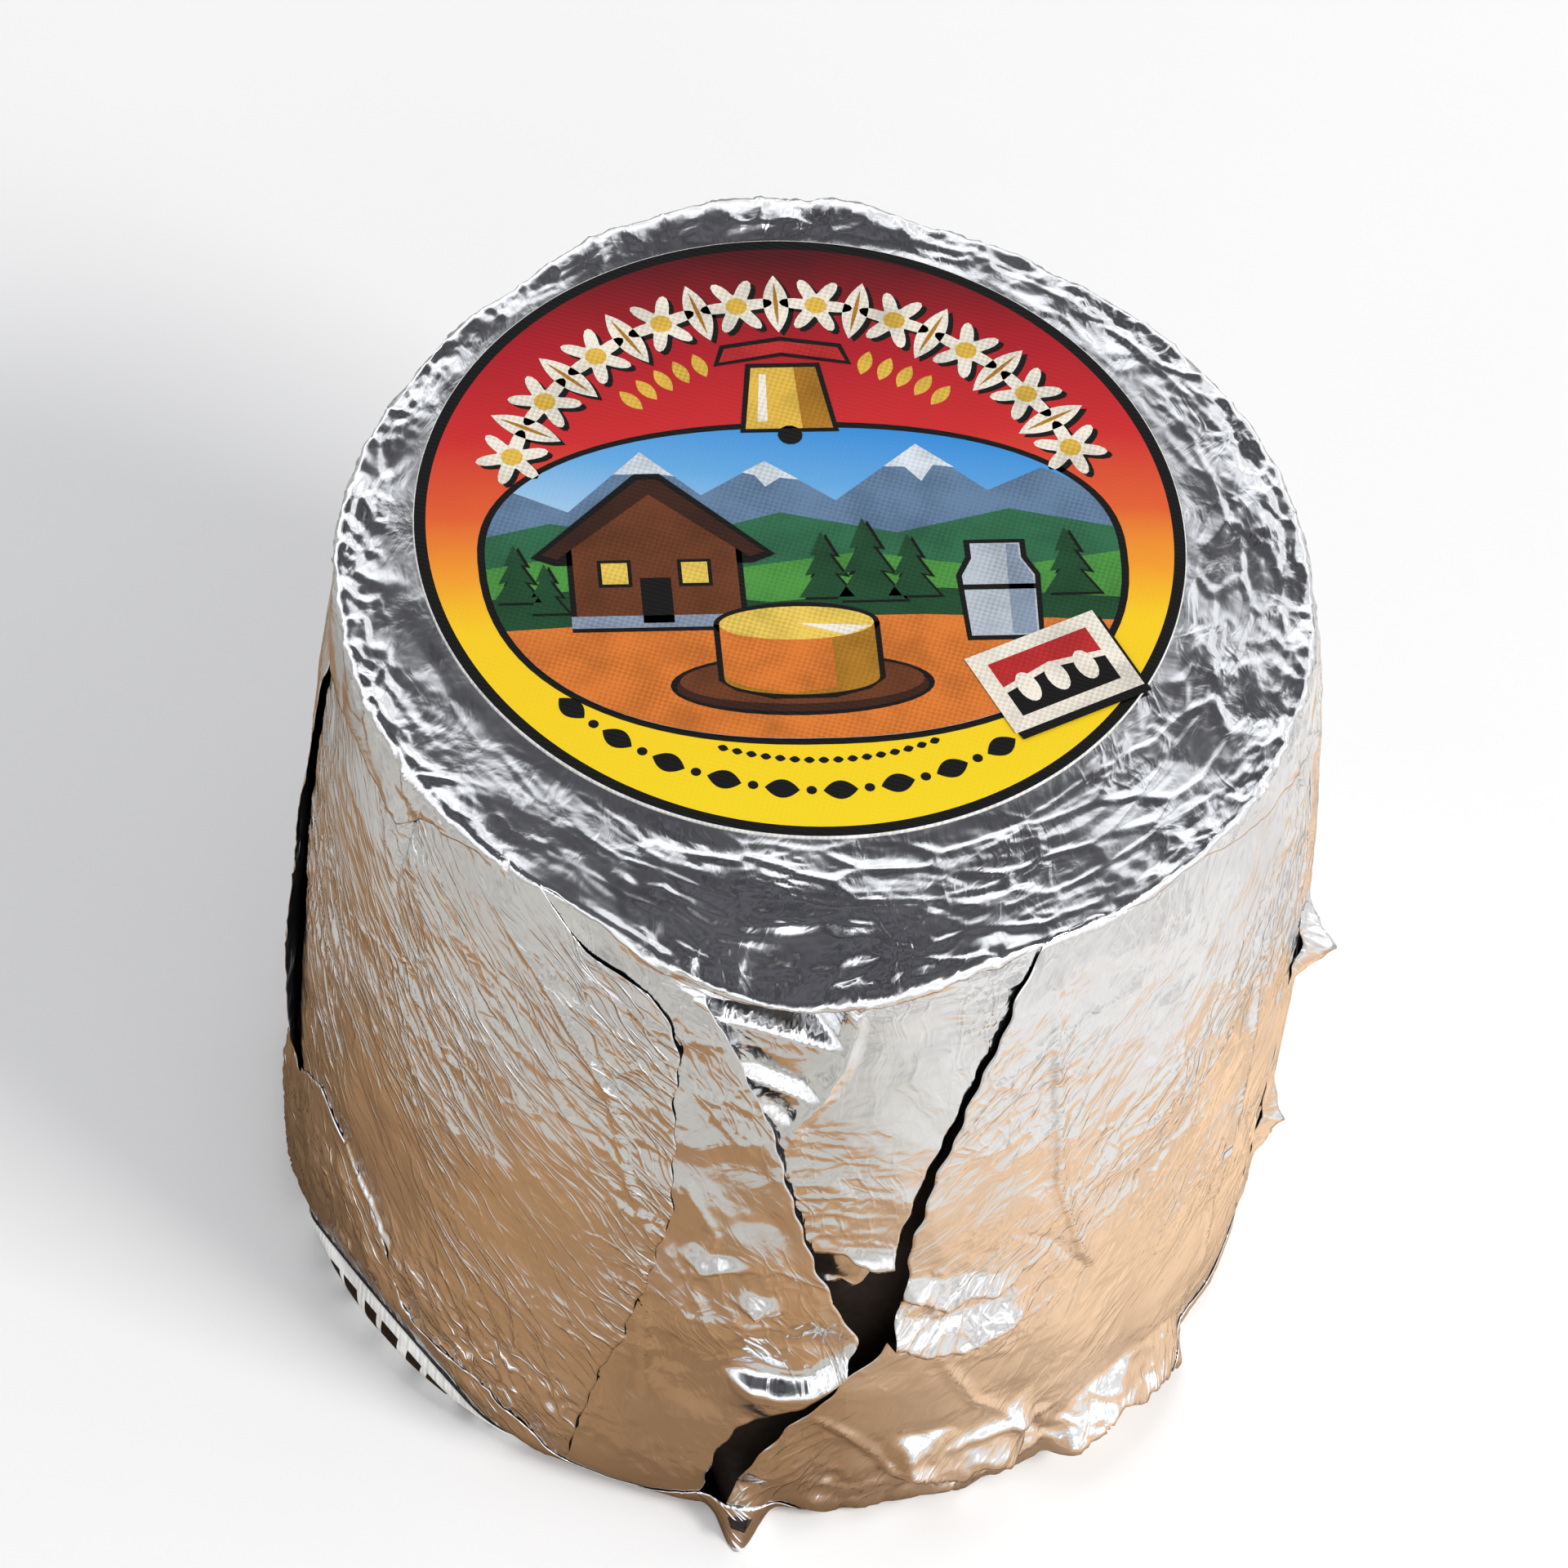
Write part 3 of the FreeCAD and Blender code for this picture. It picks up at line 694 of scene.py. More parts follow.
# Places where the foil was squeezed into small sharp facets: bearing, height, reach in
# millimetres, depth.
CRUSHED = (
    (218.5, 86.0, 8.0, 1.0), (222.0, 93.0, 8.0, 0.8), (233.0, 93.5, 7.0, 0.6), (261.0, 86.5, 5.0, 0.6),
    (265.0, 91.5, 5.0, 0.4), (229.0, 11.0, 6.0, 0.9), (285.0, 5.0, 7.0, 0.8), (300.0, 5.0, 8.0, 0.9),
    (318.0, 6.0, 8.0, 0.9), (331.0, 8.0, 7.0, 0.7), (257.5, 52.0, 5.0, 0.6), (257.5, 30.0, 5.0, 0.4),
    (274.0, 22.0, 7.0, 0.5), (240.0, 13.0, 12.0, 0.9), (225.0, 20.0, 9.0, 0.9), (250.0, 13.0, 9.0, 0.8),
    (262.0, 10.0, 8.0, 0.6), (290.0, 39.0, 7.0, 0.6), (300.0, 31.0, 6.0, 0.6), (281.0, 8.0, 6.0, 0.7),
    (293.0, 9.0, 8.0, 0.8), (308.0, 8.0, 10.0, 0.8), (325.0, 10.0, 8.0, 0.5), (348.0, 86.0, 9.0, 0.8),
    (347.0, 55.0, 8.0, 0.6), (346.0, 28.0, 7.0, 0.6), (10.0, 88.0, 9.0, 0.7), (60.0, 80.0, 10.0, 0.8),
    (75.0, 35.0, 9.0, 0.6), (135.0, 60.0, 9.0, 0.6), (150.0, 88.0, 9.0, 0.8), (192.0, 50.0, 8.0, 0.5),
    (110.0, 12.0, 12.0, 0.6), (20.0, 12.0, 10.0, 0.5), (170.0, 12.0, 10.0, 0.6),
)


def crushed_relief(wheel, arc, bearing):
    """Small sharp facets, only where the foil was squeezed."""
    z = wheel.section(arc)[1]
    amount = np.zeros(len(arc))
    for at, height, reach, depth in CRUSHED:
        across = np.radians((bearing - at + 180.0) % 360.0 - 180.0) * WALL_RADIUS
        amount = np.maximum(amount, depth * smooth(1.0 - np.hypot(across, z - height) / reach))
    level = wheel.twisted(arc, bearing, 0.2, 1.1)
    return amount * (facets(level, (0.55, 3.0, 91)) + crests(level, (0.40, 2.6, 92, 0.6)))


def base_label_offset(wheel, label):
    """How far the base label's centre is from the middle of the base."""
    return wheel.floor_radius + label.base_lap - label.base_radius


def past_base_label(wheel, arc, bearing):
    """How far past the edge of the base label a spot is, along the foil."""
    label = InMillimetres(bpy.context.scene.label_settings)
    away = np.radians(bearing) - label.base_bearing
    offset = base_label_offset(wheel, label)
    return np.hypot(arc * np.sin(away), arc * np.cos(away) - offset) - label.base_radius


# Creases that stand out on the left sheet and elsewhere: height and half width in
# millimetres, then (bearing, height) points along the crest.
CREASES = (
    (0.45, 0.9, [(236.0, 88.6), (241.5, 82.9), (245.0, 80.0), (249.2, 74.3), (252.4, 70.2),
                 (253.6, 65.0), (255.4, 58.5), (258.2, 51.2), (259.2, 47.5)]),
    (0.40, 0.8, [(258.3, 44.1), (259.4, 32.3), (260.2, 20.4)]),
    (0.55, 0.8, [(211.7, 25.6), (214.7, 23.8), (219.4, 23.0), (223.6, 19.7), (226.3, 12.6)]),
    (-0.5, 1.0, [(219.6, 91.5), (219.3, 84.8), (218.6, 76.9)]),
    (0.60, 1.1, [(302.2, 88.4), (303.2, 76.0), (305.0, 56.2), (308.0, 46.0), (311.3, 37.5)]),
    (-0.35, 0.9, [(300.0, 50.0), (305.0, 46.0), (311.0, 37.0), (309.0, 29.0)]),
    (0.45, 1.0, [(293.0, 30.0), (298.0, 20.0), (306.0, 12.0)]),
    (0.60, 0.8, [(337.1, 74.0), (335.9, 64.5), (335.6, 48.8), (333.3, 31.2), (334.1, 14.5)]),
    (0.7, 1.0, [(279.5, 21.5), (284.0, 17.0), (288.0, 11.5), (290.0, 8.0)]),
    (0.6, 1.1, [(296.0, 12.0), (303.0, 13.5), (309.0, 12.0)]),
    (0.40, 0.9, [(262.0, 60.0), (266.0, 52.0), (264.0, 42.0), (267.0, 34.0)]),
    (-0.50, 0.9, [(238.0, 27.0), (241.0, 20.0), (240.5, 15.0), (243.0, 10.0)]),
    (0.45, 0.8, [(242.5, 30.0), (244.0, 22.0), (243.5, 16.0), (246.0, 11.0)]),
    (-0.40, 0.8, [(234.0, 22.0), (237.0, 16.0), (238.0, 11.0)]),
    (0.35, 0.7, [(247.0, 26.0), (248.5, 19.0), (251.0, 12.0)]),
)


def crease_relief(bearing, z):
    """Height of the creases in CREASES at each spot, faded towards their ends."""
    total = np.zeros(len(bearing))
    along = np.radians(bearing) * WALL_RADIUS
    for height, half_width, points in CREASES:
        nearest = np.full(len(bearing), 99.0)
        run = np.zeros(len(bearing))
        for i, ((b0, z0), (b1, z1)) in enumerate(zip(points, points[1:])):
            x0 = math.radians(b0) * WALL_RADIUS
            wide, high = math.radians(b1) * WALL_RADIUS - x0, z1 - z0
            t = np.clip(((along - x0) * wide + (z - z0) * high) / (wide ** 2 + high ** 2), 0.0, 1.0)
            away = np.hypot(along - x0 - t * wide, z - z0 - t * high)
            run = np.where(away < nearest, (i + t) / (len(points) - 1), run)
            nearest = np.minimum(nearest, away)
        faded = 0.3 + 0.7 * np.sin(np.pi * run) ** 0.5
        total += height * faded * np.clip(1.0 - nearest / half_width, 0.0, 1.0) ** 1.3
    return total


# Broad folds whose upper side faces up a little: how far the foil stands out at the
# crest, how far above the crest it starts to, and the crest as (bearing, height) points.
# The underside is FOLD_UNDER high, and each end fades over FOLD_END degrees.
FOLD_UNDER = 0.8
FOLD_END = 3.0
FOLDS = (
    (3.0, 7.0, [(288.0, 10.0), (292.0, 8.6), (298.0, 7.2), (303.0, 8.4), (307.0, 11.5)]),
    (1.3, 3.0, [(301.0, 7.0), (305.0, 6.2), (310.0, 6.6)]),
    (3.0, 6.0, [(308.5, 3.8), (314.0, 5.4), (319.0, 7.0), (324.0, 5.2), (329.0, 3.2), (334.0, 1.2)]),
    (2.2, 5.0, [(284.0, 37.0), (290.0, 33.0), (296.0, 33.6), (303.5, 35.0)]),
    (1.3, 2.8, [(285.5, 44.2), (293.0, 41.0), (301.5, 41.4)]),
    (1.3, 3.2, [(268.5, 42.0), (271.5, 40.0), (274.5, 40.6)]),
    (1.1, 2.8, [(262.0, 47.5), (266.0, 46.0), (270.0, 47.0)]),
    (1.5, 4.0, [(95.0, 9.0), (103.0, 7.0), (112.0, 10.0)]),
    (1.5, 4.0, [(20.0, 7.0), (30.0, 9.0), (38.0, 6.0)]),
    (1.4, 4.0, [(158.0, 30.0), (166.0, 27.0), (174.0, 29.0)]),
    (1.4, 4.0, [(52.0, 42.0), (60.0, 38.0), (66.0, 39.0)]),
)


def fold_relief(bearing, z):
    """Height of the folds in FOLDS at each spot, along crests that waver a little."""
    wobble = facets(wall_spots(bearing, z), (1.6, 5.0, 19))
    around = bearing % 360.0
    total = np.zeros(len(bearing))
    for depth, reach, points in FOLDS:
        at, heights = np.array(points).T
        ends = np.clip(np.minimum(around - at[0], at[-1] - around) / FOLD_END, 0.0, 1.0)
        over = z - np.interp(around, at, heights) - wobble * (0.4 + 0.6 * ends)
        away = np.where(over > 0.0, over / reach, -over / FOLD_UNDER)
        total += depth * ends * np.clip(1.0 - away, 0.0, 1.0)
    return total


# The turned-up hem at the front right: how far the foil stands out, by height. Its upper
# side slopes enough to catch the light. It fades over HEM_FADE degrees at each end.
HEM_STEPS = [(0.0, 0.5), (1.3, 0.9), (1.8, 0.9), (4.2, -0.7), (8.0, -0.7), (17.0, 0.0)]
HEM_START = 275.0
HEM_END = 340.0
HEM_FADE = 8.0


def hem_relief(bearing, z):
    """The hem, in uneven lengths, with facets low on the wall."""
    around = bearing % 360.0
    here = smooth((around - HEM_START) / HEM_FADE) * smooth((HEM_END - around) / HEM_FADE)
    spots = wall_spots(bearing, 0.0)
    level = wall_spots(bearing, z)
    broken = facets(level, (0.35, 4.6, 17), (0.2, 2.3, 18)) * smooth((18.0 - z) / 9.0)
    depth = 0.65 + facets(spots, (0.5, 8.0, 15))
    shifted = z + facets(spots, (3.2, 6.0, 16))
    return here * (depth * np.interp(shifted, *np.array(HEM_STEPS).T) + broken)


def shared_relief(wheel, arc, bearing):
    """Dents of the whole wrapping, the same in every layer, so that layers nest."""
    z = wheel.section(arc)[1]
    broad = facets(wheel.twisted(arc, bearing, 0.25, 1.3), (0.35, 12.0, 11), (0.16, 5.5, 12))
    named = crease_relief(bearing, z) + fold_relief(bearing, z) + hem_relief(bearing, z)
    return broad + named + crushed_relief(wheel, arc, bearing)


# Millimetres to a degree from which the columns of a sheet's grid are worked out.
SHEET_MM_PER_DEGREE = 0.9

# How far a side sheet reaches in under the base foil and under the top foil, and how wide
# a margin round the base label is smoothed, in millimetres.
UNDER_BASE_FOIL = 4.0
UNDER_TOP_FOIL = 3.0
LABEL_CLEARANCE = 4.0


def sheet_relief(wheel, arc, bearing, options):
    """A sheet's own facets, and its wrinkles in patches, drawn out along a slant, with
    how finely wrinkled it is."""
    slanted = wheel.twisted(arc, bearing, options["twist"], options["stretch"])
    level = wheel.twisted(arc, bearing, 0.4 * options["twist"], 1.2)
    seed = options["seed"]
    patches = drift(level, 24.0, seed)
    creases = crests(slanted, (0.16, 4.6, seed + 20, 0.5), (0.06, 2.1, seed + 60, 0.4))
    creases = creases + facets(slanted, (0.10, 2.6, seed + 40))
    large = facets(level, (options["facets"], 8.0, seed + 80))
    relief = large + options["strength"] * (0.15 + 0.85 * patches) * creases
    return relief, (0.30 + 0.70 * patches) * options["fine"]


def span(left, right, share):
    """Bearings of a sheet's two free edges at a share of the height."""
    return curve(RUNS[left[0]], share) + left[1], curve(RUNS[right[0]], share) + right[1]


def edge_lift(away, share, amount, fins, options):
    """How far a sheet stands off at one free edge: the curl along it, and the fins that
    are pinched out of it. away is the distance in from the edge."""
    curl = amount * np.clip(1.0 - away / options["reach"], 0.0, 1.0) ** 2
    pinched = np.zeros(len(away))
    for centre, half_length, height in fins:
        point = np.clip(1.0 - np.abs(share - centre) / half_length, 0.0, 1.0)
        beside = np.abs(away - options["fin_at"]) / options["fin_reach"]
        pinched += height * point * np.clip(1.0 - beside, 0.0, 1.0) ** 1.5
    return curl, pinched


def side_sheet(name, left, right, options):
    """One foil sheet of the wall, between two free edges, each (run name, degrees past it).
    Its options are those of PLAIN."""
    wheel = Wheel()
    foil = InMillimetres(bpy.context.scene.foil_settings)
    start, end = span(left, right, 0.5)
    tall = options["high"] - options["low"]
    mesh, u, v = grid(int(SHEET_MM_PER_DEGREE * (end - start) / foil.step), int(tall / foil.step))

    # The sheet's outline: from the base foil or its own drooping edge up to the top foil.
    start, end = span(left, right, 0.08)
    low_bearing = start + (end - start) * u
    start, end = span(left, right, 0.93)
    high_bearing = start + (end - start) * u
    low = np.maximum(options["low"], base_hem(low_bearing) - UNDER_BASE_FOIL)
    if options["droop"]:
        spots = np.stack([low_bearing, low, 0.0 * low], 1)
        low = curve(options["droop"], low_bearing) + facets(spots, (0.5, 2.2, 31))
    high = np.minimum(options["high"], top_skirt(high_bearing) + UNDER_TOP_FOIL)
    arc = wheel.arc_at(low + (high - low) * v)
    z = wheel.section(arc)[1]
    share = z / wheel.height
    start, end = span(left, right, share)
    wobble = 0.35 * np.sin(arc * 0.9 + options["seed"]) * np.sin(arc * 0.37)
    bearing = start + (end - start) * u + wobble * (u ** 8 - (1.0 - u) ** 8)
    from_left = (bearing - start) * WALL_MM_PER_DEGREE
    from_right = (end - bearing) * WALL_MM_PER_DEGREE

    # Where other sheets cover it, it lies lower and smoother.
    skirt, hem = top_skirt(bearing), base_hem(bearing)
    tucked = smooth((skirt - z) / 7.0) * smooth((z - hem) / 6.0)
    under_top = smooth((arc - wheel.arc_at(skirt)) / 1.5)
    under_base = smooth((wheel.arc_at(hem) - arc) / 1.5)
    hidden_left, hidden_right = options["hidden"]
    in_sight = smooth((from_left - hidden_left) / 3.0 + 1.0)
    in_sight = in_sight * smooth((from_right - hidden_right) / 3.0 + 1.0)
    covered = 0.1 + 0.9 * tucked
    lift = options["layer"] * covered * in_sight - 0.6 * (1.0 - in_sight)
    lift = lift - 0.5 * under_top - 0.3 * under_base

    for away, amount, fins in zip((from_left, from_right), options["lifts"], options["fins"]):
        curl, pinched = edge_lift(away, share, amount, fins, options)
        lift = lift + covered * curl + pinched
    for shape in options["shapes"]:
        lift = lift + shape(bearing, z, share)
    at_edge = smooth(np.minimum(from_left, from_right) / 2.5)
    own, fineness = sheet_relief(wheel, arc, bearing, options)
    own = own * (0.2 + 0.8 * tucked) * (0.15 + 0.85 * in_sight) * (0.25 + 0.75 * at_edge)
    lift = lift + shared_relief(wheel, arc, bearing) + own

    # The base label lies on the foil, so there the foil is smooth and a little lower.
    past = past_base_label(wheel, arc, bearing) / LABEL_CLEARANCE
    lift = lift * smooth(past) - 0.25 * smooth(1.0 - past)
    set_places(mesh, wheel.place(arc, bearing, lift))
    across = np.radians(bearing + options["twist"] * arc) * wheel.s.bulge_radius
    set_sheet_map(mesh, across, arc, fineness)
    thicken(piece(name, mesh, foil_material(), "foil_wheel"), foil.thickness)


# How far the foil inside the pleat is pushed in, in millimetres by height: in steps, so
# that it catches the light in bands. The pleat's point is at a share of the height.
PLEAT_STEPS = [(66.0, 0.0), (71.2, 0.0), (72.2, 1.0), (76.4, 0.2), (77.3, 1.6), (84.2, 0.6),
               (85.4, 4.2), (96.0, 4.2)]
PLEAT_POINT = 0.70


def in_pleat(bearing, share):
    """Share of the way across the V-shaped pleat, and how deep inside it a spot is, 0 to 1."""
    low = curve(RUNS["front_sheet"], share)
    high = curve(RUNS["pleat"], share)
    across = (bearing - low) / np.maximum(high - low, 0.3)
    inside = np.clip(np.minimum(across * 2.2 + 0.8, (1.0 - across) * 3.2), 0.0, 1.0)
    return across, inside * smooth((share - PLEAT_POINT) / 0.04)


def pleat_shape(bearing, z, share):
    """The V-shaped pleat: pressed in between the front sheet's edge and its rolled lip."""
    across, inside = in_pleat(bearing, share)
    slanted = z + 3.0 * (across - 0.5)
    lip = 0.7 * np.clip(1.0 - np.abs(bearing - curve(RUNS["pleat"], share) - 0.3), 0.0, 1.0)
    lip = lip * smooth((share - PLEAT_POINT) / 0.05)
    return lip - np.interp(slanted, *np.array(PLEAT_STEPS).T) * inside


# The line along which the front sheet's lower corner is folded under, as (bearing,
# height), and the height of the ledge's slope below it.
TIP_FOLD = [(262.0, 27.6), (267.0, 29.2), (270.4, 29.4), (275.0, 28.8), (278.0, 29.6),
            (280.0, 31.2), (283.5, 35.4)]
TIP_SLOPE = 1.15


def tip_shape(bearing, z, share):
    """The front sheet's lower corner, folded under: a ledge, fuller below than above."""
    under = curve(TIP_FOLD, bearing) - z
    near = smooth((bearing - 267.8) / 4.5) * smooth((285.4 - bearing) / 2.2)
    ledge = np.clip(under / TIP_SLOPE, 0.0, 1.0) * smooth(1.0 - (under - TIP_SLOPE) / 8.0)
    return near * (2.3 * ledge + 0.3 * np.clip(1.0 - np.abs(under + 0.3) / 0.6, 0.0, 1.0))


def lip_shape(bearing, z, share):
    """The panel's free lower edge, turned a little outwards."""
    return 1.1 * np.clip(1.0 - (z - 48.7) / 2.8, 0.0, 1.0) ** 2


# What a side sheet is unless its line below says otherwise. Lengths are in millimetres,
# and pairs are for its left and right free edge.
PLAIN = dict(
    low=0.5, high=96.0,         # heights between which it is cut
    droop=None,                 # its own lower edge, as (bearing, height)
    layer=0.3,                  # how far it lies off the barrel
    hidden=(-9.0, -9.0),        # how far other sheets cover it, less than 0 where they don't
    lifts=(0.0, 0.0),           # how far its free edges stand off
    reach=9.0,                  # how far in from the edge they start to
    twist=0.3, stretch=1.6,     # slant of its wrinkles in degrees to a millimetre, and their length
    seed=1,                     # picks its pattern
    strength=1.0,               # depth of its wrinkles
    facets=0.10,                # depth of its large facets
    fine=1.0,                   # how finely wrinkled it is
    fins=((), ()),              # its fins: (share of the height, half length as a share, height)
    fin_at=0.0, fin_reach=2.6,  # how far in from the edge their points are, and their half width
    shapes=(),                  # functions that shape it further
)
SIDE_SHEETS = {
    "foil_back_under": (
        ("back_right", -10.0), ("back", 10.0),
        dict(seed=4, layer=0.05, hidden=(9.0, 9.0))),
    "foil_panel": (
        ("front_sheet", -12.0), ("panel", 0.8),
        dict(seed=5, layer=0.05, low=48.0, lifts=(0.0, 0.1), hidden=(10.0, -9.0), twist=0.1,
             droop=[(262.0, 51.0), (277.0, 50.4), (280.0, 48.9), (283.0, 48.3), (285.6, 48.9),
                    (288.0, 50.0)],
             stretch=0.6, facets=0.06, fine=0.6, shapes=(pleat_shape, lip_shape))),
    "foil_under_panel": (
        ("front_sheet", -9.0), ("panel", 0.0),
        dict(seed=14, layer=-1.0, low=43.0, high=54.0, twist=0.2, facets=0.9, strength=1.6,
             droop=[(262.0, 44.0), (277.0, 43.5), (280.5, 43.0), (282.5, 45.2), (284.0, 48.5),
                    (288.0, 50.5)])),
    "foil_front_sheet": (
        ("left_sheet", -8.0), ("front_sheet", 0.0),
        dict(seed=6, lifts=(0.0, 0.5), hidden=(7.0, -9.0), strength=0.9, facets=0.50, fine=0.8,
             shapes=(tip_shape,))),
    "foil_left_sheet": (
        ("left_stand", -14.0), ("left_sheet", 0.0),
        dict(seed=7, layer=0.50, hidden=(15.0, -9.0), lifts=(0.0, 0.15), reach=7.0, twist=0.9,
             stretch=1.5, strength=1.2, facets=0.14, fine=1.6)),
    "foil_back_left": (
        ("back_left", -9.0), ("left_stand", 360.0),
        dict(seed=3, layer=0.45, hidden=(9.0, -9.0), lifts=(0.0, 0.6), reach=7.0, twist=0.6,
             stretch=2.0, fins=((), ((0.42, 0.34, 1.3),)), fin_reach=4.0)),
    "foil_right_sheet": (
        ("right_sheet", 0.0), ("right_seam", 6.0),
        dict(seed=8, layer=0.35, lifts=(0.5, 0.0), hidden=(-9.0, 5.0), reach=10.0, twist=-0.5,
             stretch=1.5, strength=1.3, facets=0.36, fine=1.1)),
    "foil_seam_sheet": (
        ("right_seam", 0.0), ("back_right", 0.0),
        dict(seed=9, layer=0.40, lifts=(0.05, 0.2), twist=0.5, facets=0.15, fin_at=1.7,
             fin_reach=2.1, fins=(((0.58, 0.06, 4.4), (0.31, 0.08, 2.4)), ()))),
    "foil_back_sheet": (
        ("back", 0.0), ("back_left", 0.0),
        dict(seed=10, layer=0.45, lifts=(0.25, 0.3), twist=-0.8, stretch=2.2, strength=1.3,
             fins=(((0.30, 0.10, 1.6),), ()))),
}


class CHEESE_OT_rind(bpy.types.Operator):
    """The cheese itself, which shows only through the opening between the front sheets"""
    bl_idname = "cheese.rind"
    bl_label = "Cheese rind"

    def execute(self, context):
        wheel = Wheel()
        foil = InMillimetres(context.scene.foil_settings)
        mesh, u, v = grid(240, 180)
        arc = wheel.arc_centre * v
        bearing = 360.0 * u
        closed = smooth(v / 0.05) * smooth((1.0 - v) / 0.05)
        spots = wheel.twisted(arc, bearing, 0.0, 1.0)
        behind_pleat = in_pleat(bearing, wheel.section(arc)[1] / wheel.height)[1]
        behind_pleat = behind_pleat * (arc < wheel.arc_top)
        lift = closed * facets(spots, (0.5, 6.0, 5)) - foil.rind_inset - 4.0 * behind_pleat
        set_places(mesh, wheel.place(arc, bearing, lift))
        close_seams(mesh)
        piece("cheese_rind", mesh, rind_material(), "foil_wheel")
        return {"FINISHED"}


class CHEESE_OT_side_sheets(bpy.types.Operator):
    """The overlapping foil sheets of the wall, with their free edges, pleat and fins"""
    bl_idname = "cheese.side_sheets"
    bl_label = "Foil side sheets"

    def execute(self, context):
        for name, (left, right, changes) in SIDE_SHEETS.items():
            side_sheet(name, left, right, {**PLAIN, **changes})
        return {"FINISHED"}


# Millimetres round and across that set the columns and rows of these sheets' grids, and
# how far the top foil ends from the middle, under the label.
TOP_FOIL_GRID = (250.0, 36.0)
BASE_FOIL_GRID = (235.0, 47.0)
TOP_FOIL_HOLE = 26.0


def rim_crush(wheel, arc, bearing):
    """The foil crushed over the rim, and at the front a crushed line where the flat of
    the top breaks into the rolled lip."""
    level = wheel.twisted(arc, bearing, 0.0, 1.0)
    rim = np.exp(-((arc - wheel.arc_rim - 1.0) / 3.4) ** 2)
    beads = facets(level, (0.8, 7.0, 51), (0.30, 2.6, 54), (0.18, 1.5, 60)) - 0.08
    beads = beads + crests(level, (0.30, 4.5, 53, 0.45))
    line = wheel.arc_top + 5.6 + facets(level, (1.6, 9.0, 34))
    broken = np.clip(1.0 - np.abs(arc - line) / 0.9, 0.0, 1.0) * (0.5 + crumple(level, 3.0, 35))
    at_front = hump(bearing % 360.0, 270.0, 26.0) ** 0.5
    return rim * curve(RIM_CRUSH, round_wheel(bearing)) * beads + 0.55 * broken * at_front


def top_creases(wheel, arc, bearing, fineness, amount):
    """The creases of the flat, drawn out round the label, with a small fan of them beside
    the middle of the front."""
    around = wheel.twisted(arc, bearing, 0.8, 0.4)
    broad = 0.55 * (crumple(wheel.twisted(arc, bearing, 0.0, 1.0), 17.0, 55) - 0.35)
    long = crests(around, (0.10, 9.0, 56, 1.3)) + facets(around, (0.07, 5.5, 59))
    short = (0.1 + 0.9 * fineness) * crests(around, (0.05, 3.6, 57, 0.6))
    fan = hump(bearing % 360.0, 268.0, 7.0) * hump(arc, wheel.arc_top + 11.0, 7.0)
    return broad + amount * (long + short) + fan * crests(around, (0.22, 2.4, 58, 0.6))


class CHEESE_OT_top_foil(bpy.types.Operator):
    """The foil of the top: creased round the label, crushed over the rim"""
    bl_idname = "cheese.top_foil"
    bl_label = "Top foil"

    def execute(self, context):
        wheel = Wheel()
        foil = InMillimetres(context.scene.foil_settings)
        mesh, u, v = grid(*(int(size / foil.step) for size in TOP_FOIL_GRID))
        bearing = BACK_SEAM + 360.0 * u
        edge = wheel.arc_at(top_skirt(bearing))
        arc = edge + (wheel.arc_centre - TOP_FOIL_HOLE - edge) * v
        fineness = drift(wheel.twisted(arc, bearing, 0.0, 1.0), 14.0, 33)
        amount = curve(TOP_WRINKLES, round_wheel(bearing))
        flat = smooth((arc - wheel.arc_top + 1.0) / 2.5)
        skirt = smooth((wheel.arc_rim + 2.0 - arc) / 4.0)
        lift = rim_crush(wheel, arc, bearing) + 0.2 * skirt
        lift += flat * top_creases(wheel, arc, bearing, fineness, amount)
        lift += (1.0 - flat) * shared_relief(wheel, arc, bearing)

        # Smooth under the label and up to its edge.
        spots = wheel.place(arc, bearing, np.zeros(len(arc))) * MM
        away = np.hypot(spots[:, 0] - TOP_LABEL_CENTRE.x, spots[:, 1] - TOP_LABEL_CENTRE.y)
        bare = smooth(((away - TOP_LABEL_RADIUS) / MM + 0.3) / 3.0)
        points = wheel.place(arc, bearing, lift * bare)
        set_places(mesh, points)
        set_sheet_map(mesh, points[:, 0], points[:, 1] + points[:, 2], 0.21 * fineness * amount)
        close_seams(mesh)
        thicken(piece("foil_top", mesh, foil_material(), "foil_wheel"), foil.thickness)
        return {"FINISHED"}


